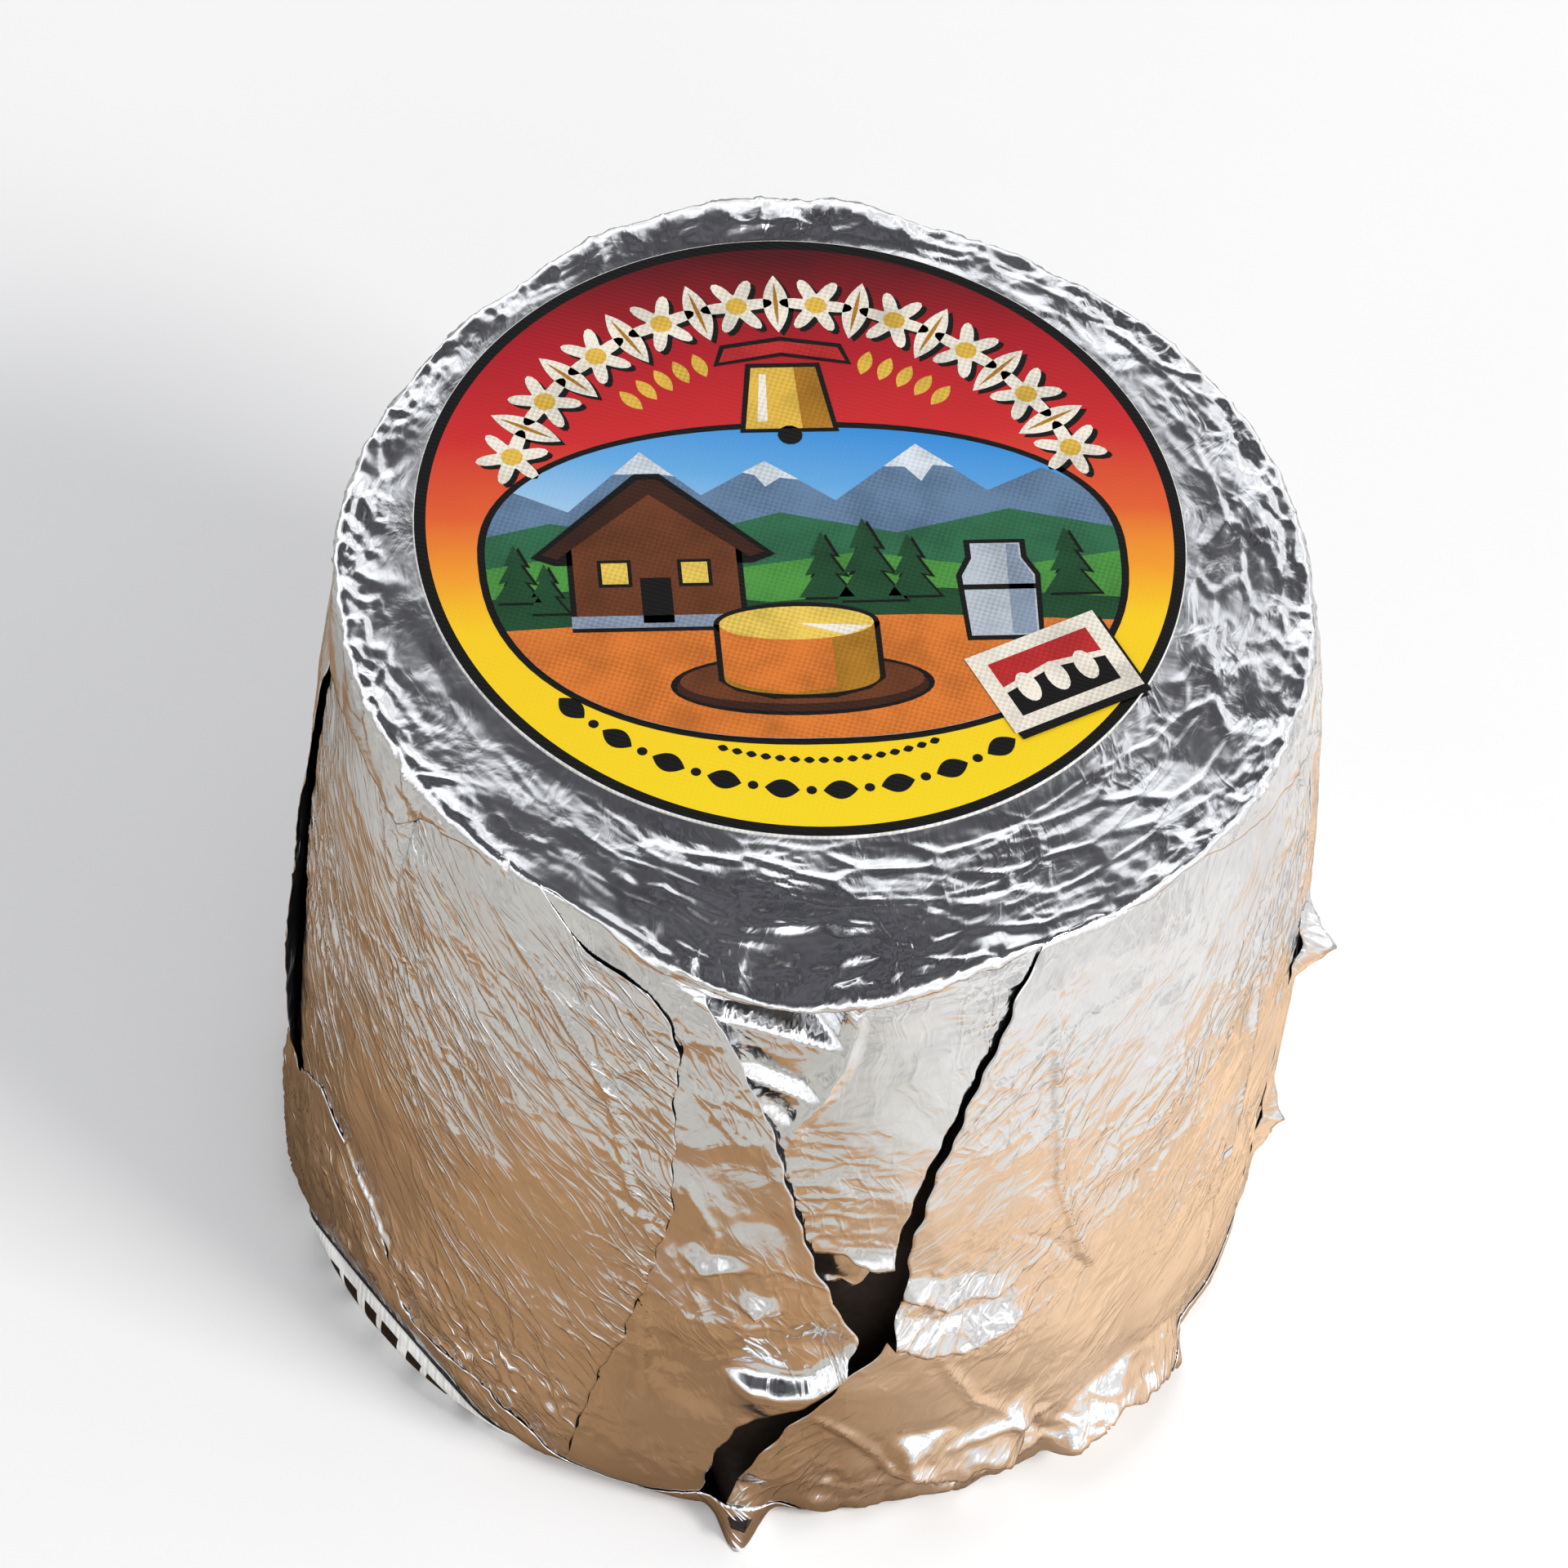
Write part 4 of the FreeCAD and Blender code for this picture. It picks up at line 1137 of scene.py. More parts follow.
class CHEESE_OT_base_foil(bpy.types.Operator):
    """The foil of the base: gathered round the bottom edge, with the tail at the front"""
    bl_idname = "cheese.base_foil"
    bl_label = "Base foil"

    def execute(self, context):
        wheel = Wheel()
        foil = InMillimetres(context.scene.foil_settings)
        mesh, u, v = grid(*(int(size / foil.step) for size in BASE_FOIL_GRID))
        bearing = BACK_SEAM + 360.0 * u
        edge = wheel.arc_at(base_hem(bearing))
        arc = edge * v
        turn = np.radians(bearing)
        radius, z = wheel.section(arc)[:2]
        flat_spots = np.stack([radius * np.cos(turn), radius * np.sin(turn), z], 1)
        level = wheel.twisted(arc, bearing, 0.0, 1.0)
        gathered = smooth((arc - wheel.arc_floor) / 4.0)
        to_edge = smooth((edge - arc) / 6.0)
        folds = 0.2 + facets(level, (0.5, 4.4, 61)) + crests(level, (0.25, 2.4, 63, 0.5))
        lift = gathered * (to_edge * folds + 0.22 + shared_relief(wheel, arc, bearing))
        lift += (1.0 - gathered) * (facets(flat_spots, (0.12, 7.0, 65)) - 0.084)

        # Smooth over the label, and clear of its paper.
        bare = smooth(past_base_label(wheel, arc, bearing) / LABEL_CLEARANCE)
        points = wheel.place(arc, bearing, lift * bare)
        points[:, 2] = np.maximum(points[:, 2], 0.3 * (1.0 - bare))
        set_places(mesh, points)
        set_sheet_map(mesh, points[:, 0] + points[:, 2], points[:, 1], gathered)
        close_seams(mesh)
        thicken(piece("foil_base", mesh, foil_material(), "foil_wheel"), foil.thickness)
        return {"FINISHED"}


# ---- labels --------------------------------------------------------------------------------------
INKS = {"black": "#0C0A09", "cream": "#F1EADB", "gold": "#E2B84A", "dark_gold": "#B07A22",
        "snow": "#DDE6EE", "rock": "#64809F", "far_green": "#2F6B4A", "green": "#4C9440",
        "dark_green": "#1C4A2C", "timber": "#6B3A1E", "dark_timber": "#3B1E12", "orange": "#DB7A30",
        "red": "#BE2A2C", "cheese": "#EBC95A", "stone": "#8C9BB0", "tin": "#B9C2CC"}


# The label is drawn in millimetres at this radius, and scaled to its own. Its print lies
# this far over the paper.
DRAWN_RADIUS = 40.2
PRINT_CLEARANCE = 0.01


def ring_spots(x, y, wide, high, count=40, start=0.0, end=360.0):
    """Spots round an ellipse, or along part of one."""
    full = end - start >= 360.0
    angles = np.radians(np.linspace(start, end, count, endpoint=not full))
    return np.stack([wide * np.cos(angles), high * np.sin(angles)], 1) + (x, y)


def disc_spots(radius, count):
    """Spots round a circle about the middle."""
    return ring_spots(0.0, 0.0, radius, radius, count)


def turned(spots, degrees):
    """The spots turned anticlockwise about the middle."""
    c, s = math.cos(math.radians(degrees)), math.sin(math.radians(degrees))
    return np.array(spots, float) @ np.array([[c, s], [-s, c]])


def along_arc(spots, radius, degrees):
    """A small shape, drawn upright at the centre, moved out to a place on an arc."""
    return turned(np.array(spots, float) + (0.0, radius), degrees - 90.0)


def inside(spots, frame_spots):
    """The part of a shape that lies inside a convex outline."""
    kept = [np.array(p, float) for p in spots]
    for a, b in zip(frame_spots, np.roll(frame_spots, -1, axis=0)):
        edge = b - a
        depth = [edge[0] * (p[1] - a[1]) - edge[1] * (p[0] - a[0]) for p in kept]
        cut = []
        for i in range(len(kept)):
            j = (i + 1) % len(kept)
            if depth[i] >= 0.0:
                cut.append(kept[i])
            if (depth[i] >= 0.0) != (depth[j] >= 0.0):
                cut.append(kept[i] + (kept[j] - kept[i]) * depth[i] / (depth[i] - depth[j]))
        kept = cut
    return np.array(kept)


def grown(spots, margin):
    """A convex outline, larger by a margin."""
    centre = spots.mean(axis=0)
    away = spots - centre
    return centre + away * (1.0 + margin / np.linalg.norm(away, axis=1, keepdims=True))


def picture_frame():
    """The rounded panel that holds the landscape: wide, with a flatter top."""
    angles = np.radians(np.arange(0.0, 360.0, 4.0))
    x, y = (np.sign(way) * np.abs(way) ** 0.86 for way in (np.cos(angles), np.sin(angles)))
    return np.stack([33.0 * x, np.where(y > 0.0, 17.5, 24.0) * y - 3.5], 1)


# The right half of a pine tree in three tiers, from the top down.
HALF_PINE = [(0.16, 0.7), (0.08, 0.72), (0.26, 0.36), (0.12, 0.4), (0.36, 0.0)]

# The pines: place of the foot, and size.
PINES = ((-30, -9, 7), (-27, -10.5, 6), (2, -9, 8), (6.5, -9.5, 10), (11, -9, 7.5), (27.5, -9, 8))


def pine(x, y, size):
    """A pine tree as one outline."""
    left = [(-across, up) for across, up in reversed(HALF_PINE)]
    return [(x + across * size, y + up * size) for across, up in left + [(0.0, 1.1)] + HALF_PINE]


def landscape():
    """A high pasture with a chalet, pines, a milk churn and a cut cheese on a board."""
    panel = picture_frame()
    shapes = [(1, "black", grown(panel, 0.8)), (2, "sky", panel)]
    scenery = [
        (3, "rock", [(-36, 0), (-30, 6), (-24, 3), (-16, 11), (-10, 5), (-3, 9.5), (4, 4), (13, 11.5),
                     (20, 5), (26, 8), (36, 2), (36, -14), (-36, -14)]),
        (4, "snow", [(-19, 8), (-16, 11), (-12.6, 7.6), (-14.4, 8), (-15.6, 6.4), (-17, 8)]),
        (4, "snow", [(-5.5, 8), (-3, 9.5), (0.4, 6.9), (-1.6, 7.2), (-3.2, 6), (-4.2, 7.6)]),
        (4, "snow", [(9.4, 8.5), (13, 11.5), (16.8, 8.2), (14.6, 8.6), (13.2, 6.4), (11.6, 8.4)]),
        (4, "far_green", [(-36, -1), (-26, 1.5), (-14, -1), (-2, 2.5), (10, -0.5), (22, 2.5), (36, -1),
                          (36, -16), (-36, -16)]),
        (5, "green", [(-36, -5), (-22, -2.5), (-8, -5), (6, -3), (20, -5.5), (36, -3), (36, -20),
                      (-36, -20)]),
        (6, "dark_green", [(-36, -9), (-20, -7), (-4, -9.5), (14, -8), (36, -10), (36, -24),
                           (-36, -24)]),
        (7, "orange", [(-36, -13), (-10, -11.5), (12, -11.5), (36, -13), (36, -30), (-36, -30)]),
    ]
    for layer, ink, spots in scenery:
        shapes.append((layer, ink, inside(spots, panel)))
    # Black outlines, then what they go round.
    shapes += [
        (7.5, "black", [(-24.6, -13.1), (-24.6, -1.5), (-6.4, -1.5), (-6.4, -13.1)]),
        (7.5, "black", [(-28.3, -3.1), (-16.8, 8.0), (-14.2, 8.0), (-2.9, -3.1), (-5.3, -4.2),
                        (-25.9, -4.2)]),
        (7.5, "black", [(16.0, -15.1), (15.6, -6.4), (16.8, -4.0), (16.8, -1.7), (23.2, -1.7),
                        (23.2, -4.0), (24.4, -6.4), (24.0, -15.1)]),
        (7.5, "black", ring_spots(-1.5, -20.4, 13.6, 4.1)),
        (9.5, "black", [(-10.1, -19.8), (-10.1, -12.4), (7.1, -12.4), (7.1, -19.8), (5.4, -21.2),
                        (1.6, -22.3), (-4.6, -22.3), (-8.4, -21.2)]),
        (9.5, "black", ring_spots(-1.5, -12.4, 8.6, 2.8)),
        (8, "timber", [(-24, -12), (-24, -1.5), (-7, -1.5), (-7, -12)]),
        (9, "dark_timber", [(-27.2, -2.8), (-16.5, 7.2), (-14.5, 7.2), (-4, -2.8), (-5.6, -3.4),
                            (-15.5, 5.2), (-25.6, -3.4)]),
        (8, "timber", [(-24, -1.5), (-15.5, 6), (-7, -1.5)]),
        (9, "black", [(-21.5, -7.2), (-21.5, -3.6), (-18, -3.6), (-18, -7.2)]),
        (9, "black", [(-13.2, -7.2), (-13.2, -3.6), (-9.7, -3.6), (-9.7, -7.2)]),
        (10, "cheese", [(-21.1, -6.8), (-21.1, -4.0), (-18.4, -4.0), (-18.4, -6.8)]),
        (10, "cheese", [(-12.8, -6.8), (-12.8, -4.0), (-10.1, -4.0), (-10.1, -6.8)]),
        (9, "black", [(-17.2, -12), (-17.2, -6), (-14, -6), (-14, -12)]),
        (9, "stone", [(-24.6, -12.6), (-24.6, -11), (-6.4, -11), (-6.4, -12.6)]),
        (8, "tin", [(16.5, -14.5), (16.2, -6.5), (17.4, -4.2), (17.4, -2.2), (22.6, -2.2), (22.6, -4.2),
                    (23.8, -6.5), (23.5, -14.5)]),
        (9, "stone", [(20.8, -14.3), (21.0, -6.4), (21.2, -2.4), (22.4, -2.4), (22.4, -4.3), (23.6, -6.6),
                      (23.3, -14.3)]),
        (9, "black", [(16.0, -8.4), (16.0, -7.7), (24.0, -7.7), (24.0, -8.4)]),
        (8, "dark_timber", ring_spots(-1.5, -20.6, 13.0, 3.4)),
        (9, "timber", ring_spots(-1.5, -19.9, 12.6, 3.1)),
        (10, "dark_gold", np.concatenate([ring_spots(-1.5, -19.6, 8.0, 2.2, 20, 180.0, 360.0),
                                          ring_spots(-1.5, -12.4, 8.0, 2.2, 2, 0.0, 180.0)])),
        (11, "orange", [(-9.5, -17.6), (-9.5, -12.6), (2.0, -12.6), (2.0, -21.0), (-3.0, -21.6),
                        (-7.4, -20.6), (-9.5, -19.4)]),
        (12, "cheese", ring_spots(-1.5, -12.4, 8.0, 2.2)),
        (13, "cream", [(-1.5, -12.4), (3.5, -14.1), (6.3, -12.9)]),
    ]
    for x, y, size in PINES:
        shapes.append((8, "dark_green", pine(x, y, size)))
        shapes.append((7, "black", pine(x + 0.5, y - 0.3, size)))
    return shapes


def flower(size):
    """A six-petalled flower."""
    angles = np.radians(np.arange(0.0, 360.0, 6.0))
    reach = size * (0.70 + 0.30 * np.cos(6.0 * angles))
    return np.stack([reach * np.cos(angles), reach * np.sin(angles)], 1)


def leaf(wide, high):
    """A leaf with a point at each end."""
    along = np.linspace(-1.0, 1.0, 12)
    side = wide * (1.0 - along ** 2)
    return np.concatenate([np.stack([side, high * along], 1), np.stack([-side, -high * along], 1)[1:-1]])


# Radii on which the label's ornament runs: the garland, the gold leaves under it, and at
# the bottom the beads and lozenges, and the fine lozenges above them.
GARLAND = 31.2
GOLD_LEAVES = 24.4
BEADS = -34.2
FINE_BEADS = -30.3


def garland():
    """Ornament where a label has its words: flowers and leaves, beads, lozenges."""
    shapes = []
    for i, bearing in enumerate(np.linspace(160.0, 20.0, 19)):
        drawn = leaf(1.35, 4.0) if i % 2 else flower(3.9)
        shapes.append((1, "black", along_arc(drawn, GARLAND, bearing) + (0.5, -0.5)))
        shapes.append((2, "cream", along_arc(drawn, GARLAND, bearing)))
        heart = ("dark_gold", leaf(0.22, 3.0)) if i % 2 else ("gold", disc_spots(1.15, 16))
        shapes.append((3, heart[0], along_arc(heart[1], GARLAND, bearing)))
    for bearing in np.linspace(132.0, 48.0, 17):
        if abs(bearing - 90.0) > 16.0:
            shapes.append((1, "gold", along_arc(leaf(0.75, 1.7), GOLD_LEAVES, bearing)))
    for i, bearing in enumerate(np.linspace(222.0, 312.0, 19)):
        drawn = disc_spots(0.55, 12) if i % 2 else turned(leaf(1.2, 1.8), 90.0)
        shapes.append((1, "black", along_arc(drawn, BEADS, bearing + 180.0)))
    for bearing in np.linspace(250.0, 292.0, 16):
        drawn = turned(leaf(0.42, 0.58), 90.0)
        shapes.append((1, "black", along_arc(drawn, FINE_BEADS, bearing + 180.0)))
    return shapes


def cowbell():
    """A brass cowbell on a red strap, at the top of the picture."""
    return [
        (3, "black", [(-7.3, 22.6), (-6.4, 25.5), (0, 26.6), (6.4, 25.5), (7.3, 22.6), (0, 23.9)]),
        (4, "red", [(-6.7, 23.1), (-6.0, 25.0), (0, 26.0), (6.0, 25.0), (6.7, 23.1), (0, 24.4)]),
        (4, "black", [(-5.2, 13.4), (-3.9, 22.9), (3.9, 22.9), (5.2, 13.4)]),
        (5, "gold", [(-4.6, 13.9), (-3.4, 22.3), (3.4, 22.3), (4.6, 13.9)]),
        (6, "dark_gold", [(1.4, 13.9), (1.1, 22.3), (3.4, 22.3), (4.6, 13.9)]),
        (6, "cream", [(-3.3, 14.9), (-2.6, 21.4), (-1.9, 21.4), (-2.2, 14.9)]),
        (5, "black", ring_spots(0, 13.0, 1.3, 1.3, 14)),
    ]


# The tag's tilt in degrees and its place, and how far its shadow is moved.
TAG_TILT = 24.0
TAG_PLACE = (24.5, -19.5)
TAG_SHADOW = (0.7, -0.8)


def tag():
    """A white tag at lower right, tilted, with its shadow, a red and a black field."""
    card = [(-7.6, -5.4), (-7.6, 5.4), (7.6, 5.4), (7.6, -5.4)]
    drawn = [(15, "cream", card),
             (16, "red", [(-5.8, 0.4), (-5.8, 3.7), (5.8, 3.7), (5.8, 0.4), (0, 1.4)]),
             (16, "black", [(-5.8, -3.7), (-5.8, -0.4), (0, 0.6), (5.8, -0.4), (5.8, -3.7)])]
    drawn += [(17, "cream", ring_spots(x, -0.6, 1.1, 2.0, 18)) for x in (-3.4, 0.0, 3.4)]
    shapes = [(14, "black", turned(card, TAG_TILT) + TAG_PLACE + TAG_SHADOW)]
    return shapes + [(layer, ink, turned(spots, TAG_TILT) + TAG_PLACE) for layer, ink, spots in drawn]


def flat_shapes(shapes, place, spacing_mm, inks):
    """One mesh of thin printed shapes. Each is (layer, ink, outline); place turns label
    millimetres and a height into points."""
    made = bmesh.new()
    for layer, ink, outline in shapes:
        outline = np.array(outline, float)
        x, y = outline.T
        if (x * np.roll(y, -1) - y * np.roll(x, -1)).sum() < 0.0:
            outline = outline[::-1]
        corners = [made.verts.new(p) for p in place(outline, layer * spacing_mm)]
        made.faces.new(corners).material_index = inks.index(ink)
    made.normal_update()
    bmesh.ops.triangulate(made, faces=made.faces, quad_method="BEAUTY", ngon_method="EAR_CLIP")
    bmesh.ops.scale(made, verts=made.verts, vec=(MM, MM, MM))
    return as_mesh(made, "print")


def label_paper(edge_round_mm):
    """The top label's disc of paper, with its upper edge eased."""
    thick = TOP_LABEL_HIGH.z - TOP_LABEL_LOW.z
    paper = bmesh.new()
    bmesh.ops.create_circle(paper, cap_ends=True, segments=160, radius=TOP_LABEL_RADIUS)
    rim = bmesh.ops.extrude_face_region(paper, geom=paper.faces[:])
    top = [v for v in rim["geom"] if isinstance(v, bmesh.types.BMVert)]
    bmesh.ops.translate(paper, verts=top, vec=(0.0, 0.0, thick))
    edges = [e for e in paper.edges if all(v.co.z > 0.5 * thick for v in e.verts)]
    bmesh.ops.bevel(paper, geom=edges, offset=edge_round_mm * MM, affect="EDGES", segments=2,
                    profile=0.5, material=-1)
    bmesh.ops.recalc_face_normals(paper, faces=paper.faces)
    middle = Vector((TOP_LABEL_CENTRE.x, TOP_LABEL_CENTRE.y, TOP_LABEL_LOW.z))
    bmesh.ops.translate(paper, verts=paper.verts, vec=middle)
    return as_mesh(paper, "paper")


class CHEESE_OT_top_label(bpy.types.Operator):
    """The round paper label on top, with its black ring, red to yellow ground and landscape"""
    bl_idname = "cheese.top_label"
    bl_label = "Top label"

    def execute(self, context):
        label = InMillimetres(context.scene.label_settings)
        piece("top_label_paper", label_paper(0.08), ink_material("white_paper", "#EDEBE6"),
              "top_label", smooth_shaded=False)

        centre = TOP_LABEL_CENTRE / MM
        scale = TOP_LABEL_RADIUS / MM / DRAWN_RADIUS
        ring = TOP_LABEL_RADIUS / MM - label.white_edge
        shapes = [(0, "black", disc_spots(ring / scale, 180)),
                  (0.5, "ground", disc_spots((ring - label.ring_width) / scale, 180))]
        shapes += garland() + landscape() + cowbell() + tag()

        def place(outline, height):
            """Points of a drawn outline on the label."""
            flat = turned(outline * scale, math.degrees(label.turn))
            level = np.full(len(flat), TOP_LABEL_HIGH.z / MM + PRINT_CLEARANCE + height)
            return np.column_stack([flat[:, 0] + centre.x, flat[:, 1] + centre.y, level])

        inks = ["ground", "sky"] + list(INKS)
        mesh = flat_shapes(shapes, place, label.ink, inks)
        made = piece("top_label_print", mesh, sunset_material(), "top_label",
                     smooth_shaded=False)
        made.data.materials.append(sky_material())
        for name, code in INKS.items():
            made.data.materials.append(ink_material(name, code))
        return {"FINISHED"}


# How far the base label's paper and its print lie off the barrel, in millimetres. The
# print covers the paper under the base too.
BASE_PAPER_LIFT = 0.35
BASE_PRINT_LIFT = 0.37

# The base label's printing, repeated round its middle: inner and outer radius as shares
# of the label's, where it starts and ends past each turn in degrees, its mesh's steps,
# and the turn.
BASE_PRINT = (
    ((0.66, 0.90, 0.0, 7.0, (14, 8)), (0.78, 0.90, 10.0, 19.0, (8, 12)), 24),
    ((0.20, 0.45, 0.0, 30.0, (12, 16)), 60),
)


def base_label_patch(wheel, inner, outer, start, end, steps, lift):
    """Part of the base label as a sheet laid over the bottom edge, between two radii of
    the label and two directions from its centre, in degrees."""
    label = InMillimetres(bpy.context.scene.label_settings)
    mesh, u, v = grid(*steps)
    reach = inner + (outer - inner) * u
    turn = np.radians(end + (start - end) * v)
    offset = base_label_offset(wheel, label)
    along = offset * math.cos(label.base_bearing) + reach * np.cos(turn)
    across = offset * math.sin(label.base_bearing) + reach * np.sin(turn)
    points = wheel.place(np.hypot(along, across), np.degrees(np.arctan2(across, along)), lift)
    points[:, 2] = np.maximum(points[:, 2], BASE_PRINT_LIFT - lift)
    set_places(mesh, points)
    close_seams(mesh)
    return mesh


class CHEESE_OT_base_label(bpy.types.Operator):
    """The plain paper label under the base, which laps a little up the front left"""
    bl_idname = "cheese.base_label"
    bl_label = "Base label"

    def execute(self, context):
        wheel = Wheel()
        radius = InMillimetres(context.scene.label_settings).base_radius
        mesh = base_label_patch(wheel, 0.0, radius, 0.0, 360.0, (30, 180), BASE_PAPER_LIFT)
        paper = ink_material("plain_paper", "#F0EFEC")
        thicken(piece("base_label_paper", mesh, paper, "base_label"), 0.15)
        black = ink_material("base_black", "#16130F")
        made = 0
        for *bars, turn in BASE_PRINT:
            for bearing in range(0, 360, turn):
                for inner, outer, start, end, steps in bars:
                    mesh = base_label_patch(wheel, inner * radius, outer * radius, bearing + start,
                                            bearing + end, steps, BASE_PRINT_LIFT)
                    piece("base_label_print_%02d" % made, mesh, black, "base_label")
                    made += 1
        return {"FINISHED"}


# ---- stage ------------------------------------------------------------------------------------------
# Painted shade on the card, by the share of its reach: darker close to the wheel, whose shade is painted
# into the card's colour.
CARD_PAINTED_SHADE = ((0.0, 0.40), (0.25, 0.52), (0.29, 0.78), (0.35, 0.98), (0.49, 1.05), (1.0, 1.0))

# Where the card's painted light begins: in metres across, where it turns from painted shade to painted
# light on the side of the window: its tan middle, then its pale outer part.
CARD_PAINTED_LIGHT = ((0.012, 0.050), (0.036, 0.080))

# Light of the room by height, from the floor over the walls to the dark ceiling.
ROOM_LIGHT = (
    (0.0, (0.95, 0.97, 1.0)), (0.35, (1.0, 1.0, 1.0)), (0.60, (0.92, 0.93, 0.95)),
    (0.69, (0.52, 0.53, 0.55)), (0.76, (0.23, 0.23, 0.24)), (0.84, (0.075, 0.075, 0.08)),
    (0.95, (0.045, 0.045, 0.05)), (1.0, (0.09, 0.09, 0.10)))

# Lamps: name, place, size, power in watts and colour. Each is turned to the wheel.
LAMPS = (
    ("window", (1.10, -0.60, 1.15), (0.50, 0.50), 15.0, (1.0, 0.98, 0.95)),
    ("fill", (-1.10, -0.50, 0.70), (0.8, 0.6), 1.2, (0.95, 0.97, 1.0)),
)
WHEEL_MIDDLE = Vector((0.0, 0.0, 0.05))


def board_material(stage):
    """Matt white painted board, smooth and even, so that it shows only soft shadows."""
    material, _, shader = new_material("matt_white_board")
    shader.inputs["Base Color"].default_value = stage.floor
    shader.inputs["Roughness"].default_value = 0.9
    return material


def card_material(stage):
    """Matt card, tan in the middle and pale outside, with faint broad streaks, so that the foil
    has something to mirror. Painted light makes it lighter on the side of the window, and
    painted shade makes it darker close to the wheel."""
    material, tree, shader = new_material("matt_tan_card")
    coordinates = node(tree, "ShaderNodeTexCoord").outputs["Object"]
    sideways = node(tree, "ShaderNodeSeparateXYZ", {"Vector": coordinates}).outputs["X"]
    # Painted light: how far each part of the card lies towards the side of the window.
    lit = [node(tree, "ShaderNodeMapRange", {"Value": sideways, "From Min": low, "From Max": high})
           for low, high in CARD_PAINTED_LIGHT]
    reach = node(tree, "ShaderNodeVectorMath", {0: coordinates}, operation="LENGTH")
    share = node(tree, "ShaderNodeMath", {0: reach.outputs["Value"], 1: 0.5 / stage.card_radius},
                 operation="MULTIPLY").outputs["Value"]
    # Painted shade: the card's colour darkens close to the wheel.
    shade = ramp(tree, share, [(place, (value, value, value, 1.0)) for place, value in CARD_PAINTED_SHADE])
    drawn = node(tree, "ShaderNodeMapping", {"Vector": coordinates, "Scale": (20.0, 110.0, 1.0)})
    streaks = node(tree, "ShaderNodeTexNoise", {
        "Vector": drawn.outputs["Vector"], "Scale": 1.0, "Detail": 3.0})
    clouds = node(tree, "ShaderNodeTexNoise", {"Vector": coordinates, "Scale": 22.0, "Detail": 1.0})
    both = node(tree, "ShaderNodeMath", {0: streaks.outputs["Fac"], 1: clouds.outputs["Fac"]},
                operation="ADD")
    uneven = node(tree, "ShaderNodeMapRange", {
        "Value": both.outputs["Value"], "From Min": 0.75, "From Max": 1.25, "To Min": 0.72, "To Max": 1.20})
    strength = node(tree, "ShaderNodeMath", {0: shade.outputs["Color"], 1: uneven.outputs["Result"]},
                    operation="MULTIPLY")
    # Shaded and lit copies of the card's colours, blended across: painted light.
    colours = ((stage.card, stage.card_painted_light), (stage.far_card, stage.far_card_painted_light))
    tints = [node(tree, "ShaderNodeMix", {0: share_lit.outputs["Result"], 6: tuple(a), 7: tuple(b)},
                  data_type="RGBA").outputs[2]
             for share_lit, (a, b) in zip(lit, colours)]
    near = node(tree, "ShaderNodeVectorMath", {0: tints[0], "Scale": strength.outputs["Value"]},
                operation="SCALE")
    outside = node(tree, "ShaderNodeMapRange", {"Value": share, "From Min": 0.485, "From Max": 0.515})
    darkest = node(tree, "ShaderNodeMapRange", {
        "Value": share, "From Min": 0.62, "From Max": 0.90, "To Min": 0.84, "To Max": 0.40})
    faint = node(tree, "ShaderNodeMapRange", {
        "Value": both.outputs["Value"], "From Min": 0.80, "From Max": 1.15,
        "To Min": darkest.outputs["Result"], "To Max": 1.06})
    far = node(tree, "ShaderNodeVectorMath", {0: tints[1], "Scale": faint.outputs["Result"]},
               operation="SCALE")
    whole = node(tree, "ShaderNodeMix", {
        0: outside.outputs["Result"], 6: near.outputs["Vector"], 7: far.outputs["Vector"]},
        data_type="RGBA")
    tree.links.new(whole.outputs[2], shader.inputs["Base Color"])
    shader.inputs["Roughness"].default_value = 0.9
    return material


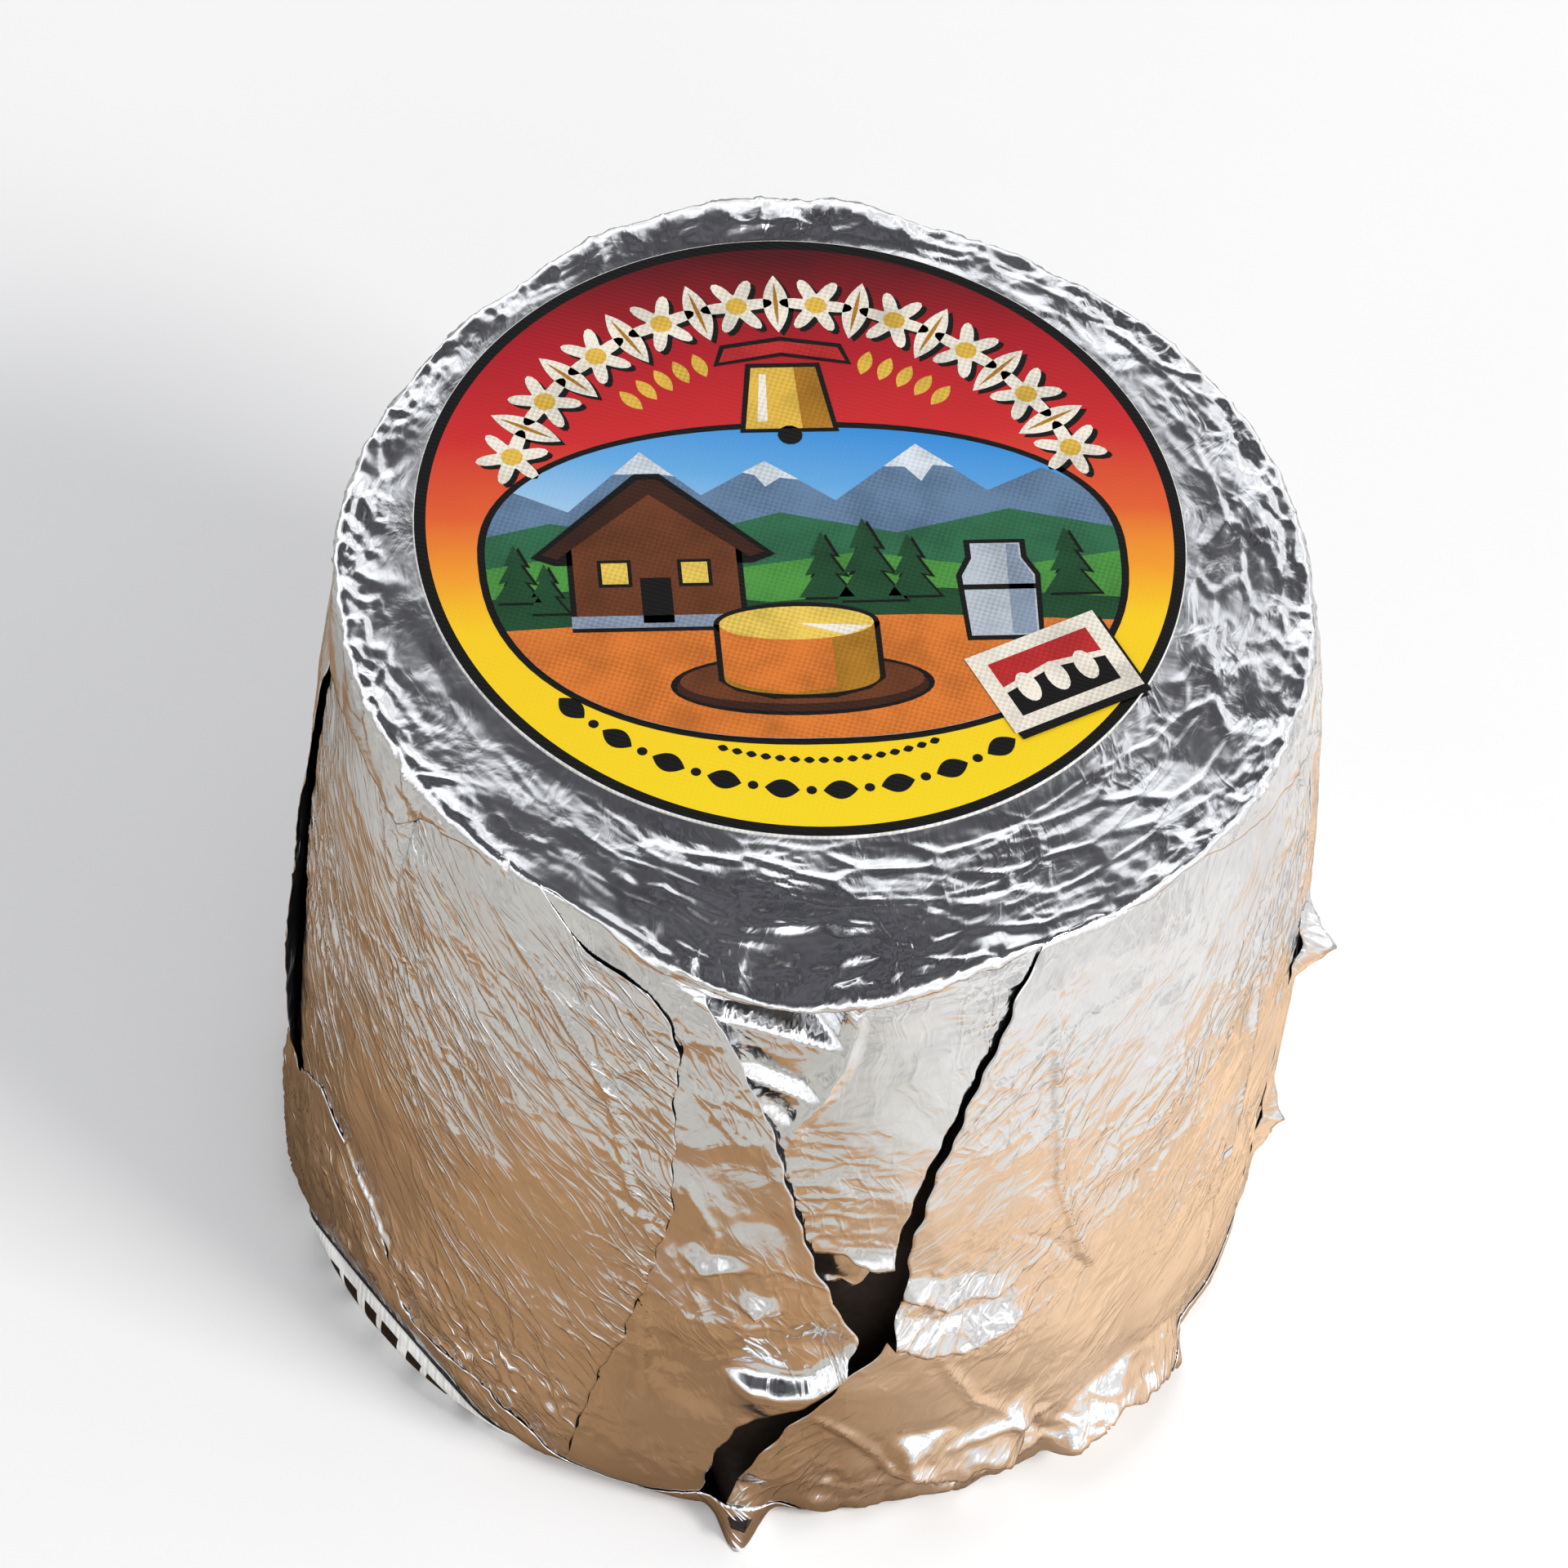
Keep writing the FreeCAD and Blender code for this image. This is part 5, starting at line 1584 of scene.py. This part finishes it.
class CHEESE_OT_stage(bpy.types.Operator):
    """Pale floor, warm card for the foil to mirror, soft studio light and camera"""
    bl_idname = "cheese.stage"
    bl_label = "Stage"

    def execute(self, context):
        stage = context.scene.stage_settings
        floor = bmesh.new()
        bmesh.ops.create_grid(floor, x_segments=1, y_segments=1, size=2.0)
        ground = in_scene("floor", as_mesh(floor, "floor"))
        ground.data.materials.append(board_material(stage))

        disc = bmesh.new()
        bmesh.ops.create_circle(disc, cap_ends=True, segments=96, radius=5.0 * stage.card_radius)
        bmesh.ops.translate(disc, verts=disc.verts, vec=(0.0, 0.0, 0.1 * MM))
        card = in_scene("warm_card", as_mesh(disc, "warm_card"))
        card.data.materials.append(card_material(stage))
        card.visible_camera = False
        card.visible_diffuse = False
        card.visible_shadow = False
        card.visible_transmission = False

        self.light_room(context)
        self.place_camera(context, stage)
        return {"FINISHED"}

    def light_room(self, context):
        """A white room with a dark, uneven ceiling, and one large soft window light."""
        world = bpy.data.worlds.new("soft_room")
        context.scene.world = world
        world.use_nodes = True
        tree = world.node_tree
        tree.nodes.clear()
        direction = node(tree, "ShaderNodeTexCoord").outputs["Generated"]
        height = node(tree, "ShaderNodeVectorMath", {0: direction, 1: (-0.15, 0.0, 1.0)},
                      operation="DOT_PRODUCT")
        patches = node(tree, "ShaderNodeTexNoise", {"Vector": direction, "Scale": 4.5, "Detail": 1.0})
        uneven = node(tree, "ShaderNodeMath", {
            0: patches.outputs["Fac"], 1: -0.34, 2: height.outputs["Value"]}, operation="MULTIPLY_ADD")
        centred = node(tree, "ShaderNodeMath", {0: uneven.outputs["Value"], 1: 0.17}, operation="ADD")
        shade = ramp(tree, centred.outputs["Value"], [(place, tint + (1.0,)) for place, tint in ROOM_LIGHT])
        blotches = node(tree, "ShaderNodeTexNoise", {"Vector": direction, "Scale": 3.2, "Detail": 2.0})
        tone = node(tree, "ShaderNodeMapRange", {
            "Value": blotches.outputs["Fac"], "From Min": 0.38, "From Max": 0.60,
            "To Min": 0.90, "To Max": 1.74})
        background = node(tree, "ShaderNodeBackground", {
            "Color": shade.outputs["Color"], "Strength": tone.outputs["Result"]})
        node(tree, "ShaderNodeOutputWorld", {"Surface": background.outputs["Background"]})

        for name, place, size, power, tint in LAMPS:
            lamp = bpy.data.lights.new(name, "AREA")
            lamp.shape = "RECTANGLE"
            lamp.size, lamp.size_y = size
            lamp.energy = power
            lamp.color = tint
            turn = (WHEEL_MIDDLE - Vector(place)).to_track_quat("-Z", "Y").to_matrix().to_4x4()
            in_scene(name, lamp).matrix_world = Matrix.Translation(place) @ turn

    def place_camera(self, context, stage):
        """A long lens, well back, looking down on the front."""
        camera = bpy.data.cameras.new("camera")
        camera.sensor_width = 36.0
        camera.lens = stage.lens
        camera.clip_start = 0.05
        camera.clip_end = 20.0
        made = in_scene("camera", camera)
        back = Vector((0.0, -math.cos(stage.elevation), math.sin(stage.elevation)))
        turn = Matrix.Rotation(0.5 * math.pi - stage.elevation, 4, "X")
        turn = turn @ Matrix.Rotation(stage.roll, 4, "Z")
        made.matrix_world = Matrix.Translation(Vector(stage.aim) + back * stage.distance) @ turn
        context.scene.camera = made
        context.scene.view_settings.view_transform = "Standard"


class CHEESE_PT_panel(bpy.types.Panel):
    """Sizes, colours and the pieces, in the order they are made"""
    bl_idname = "CHEESE_PT_panel"
    bl_label = "Foil-wrapped cheese wheel"
    bl_space_type = "VIEW_3D"
    bl_region_type = "UI"
    bl_category = "Cheese"

    def draw(self, context):
        for operator in OPERATORS:
            self.layout.operator(operator.bl_idname)
        for name, group in SETTINGS.items():
            box = self.layout.box()
            for key in group.__annotations__:
                box.prop(getattr(context.scene, name), key)


SETTINGS = {"wheel_settings": WheelSettings, "foil_settings": FoilSettings,
            "label_settings": LabelSettings, "stage_settings": StageSettings}
OPERATORS = (CHEESE_OT_rind, CHEESE_OT_side_sheets, CHEESE_OT_top_foil, CHEESE_OT_base_foil,
             CHEESE_OT_top_label, CHEESE_OT_base_label, CHEESE_OT_stage)


def register():
    for name, group in SETTINGS.items():
        bpy.utils.register_class(group)
        setattr(bpy.types.Scene, name, bpy.props.PointerProperty(type=group))
    for shown in OPERATORS + (CHEESE_PT_panel,):
        bpy.utils.register_class(shown)


def unregister():
    for shown in reversed(OPERATORS + (CHEESE_PT_panel,)):
        bpy.utils.unregister_class(shown)
    for name, group in SETTINGS.items():
        delattr(bpy.types.Scene, name)
        bpy.utils.unregister_class(group)


def main():
    register()
    bpy.ops.cheese.rind()
    bpy.ops.cheese.side_sheets()
    bpy.ops.cheese.top_foil()
    bpy.ops.cheese.base_foil()
    bpy.ops.cheese.top_label()
    bpy.ops.cheese.base_label()
    bpy.ops.cheese.stage()


if __name__ == "__main__":
    main()
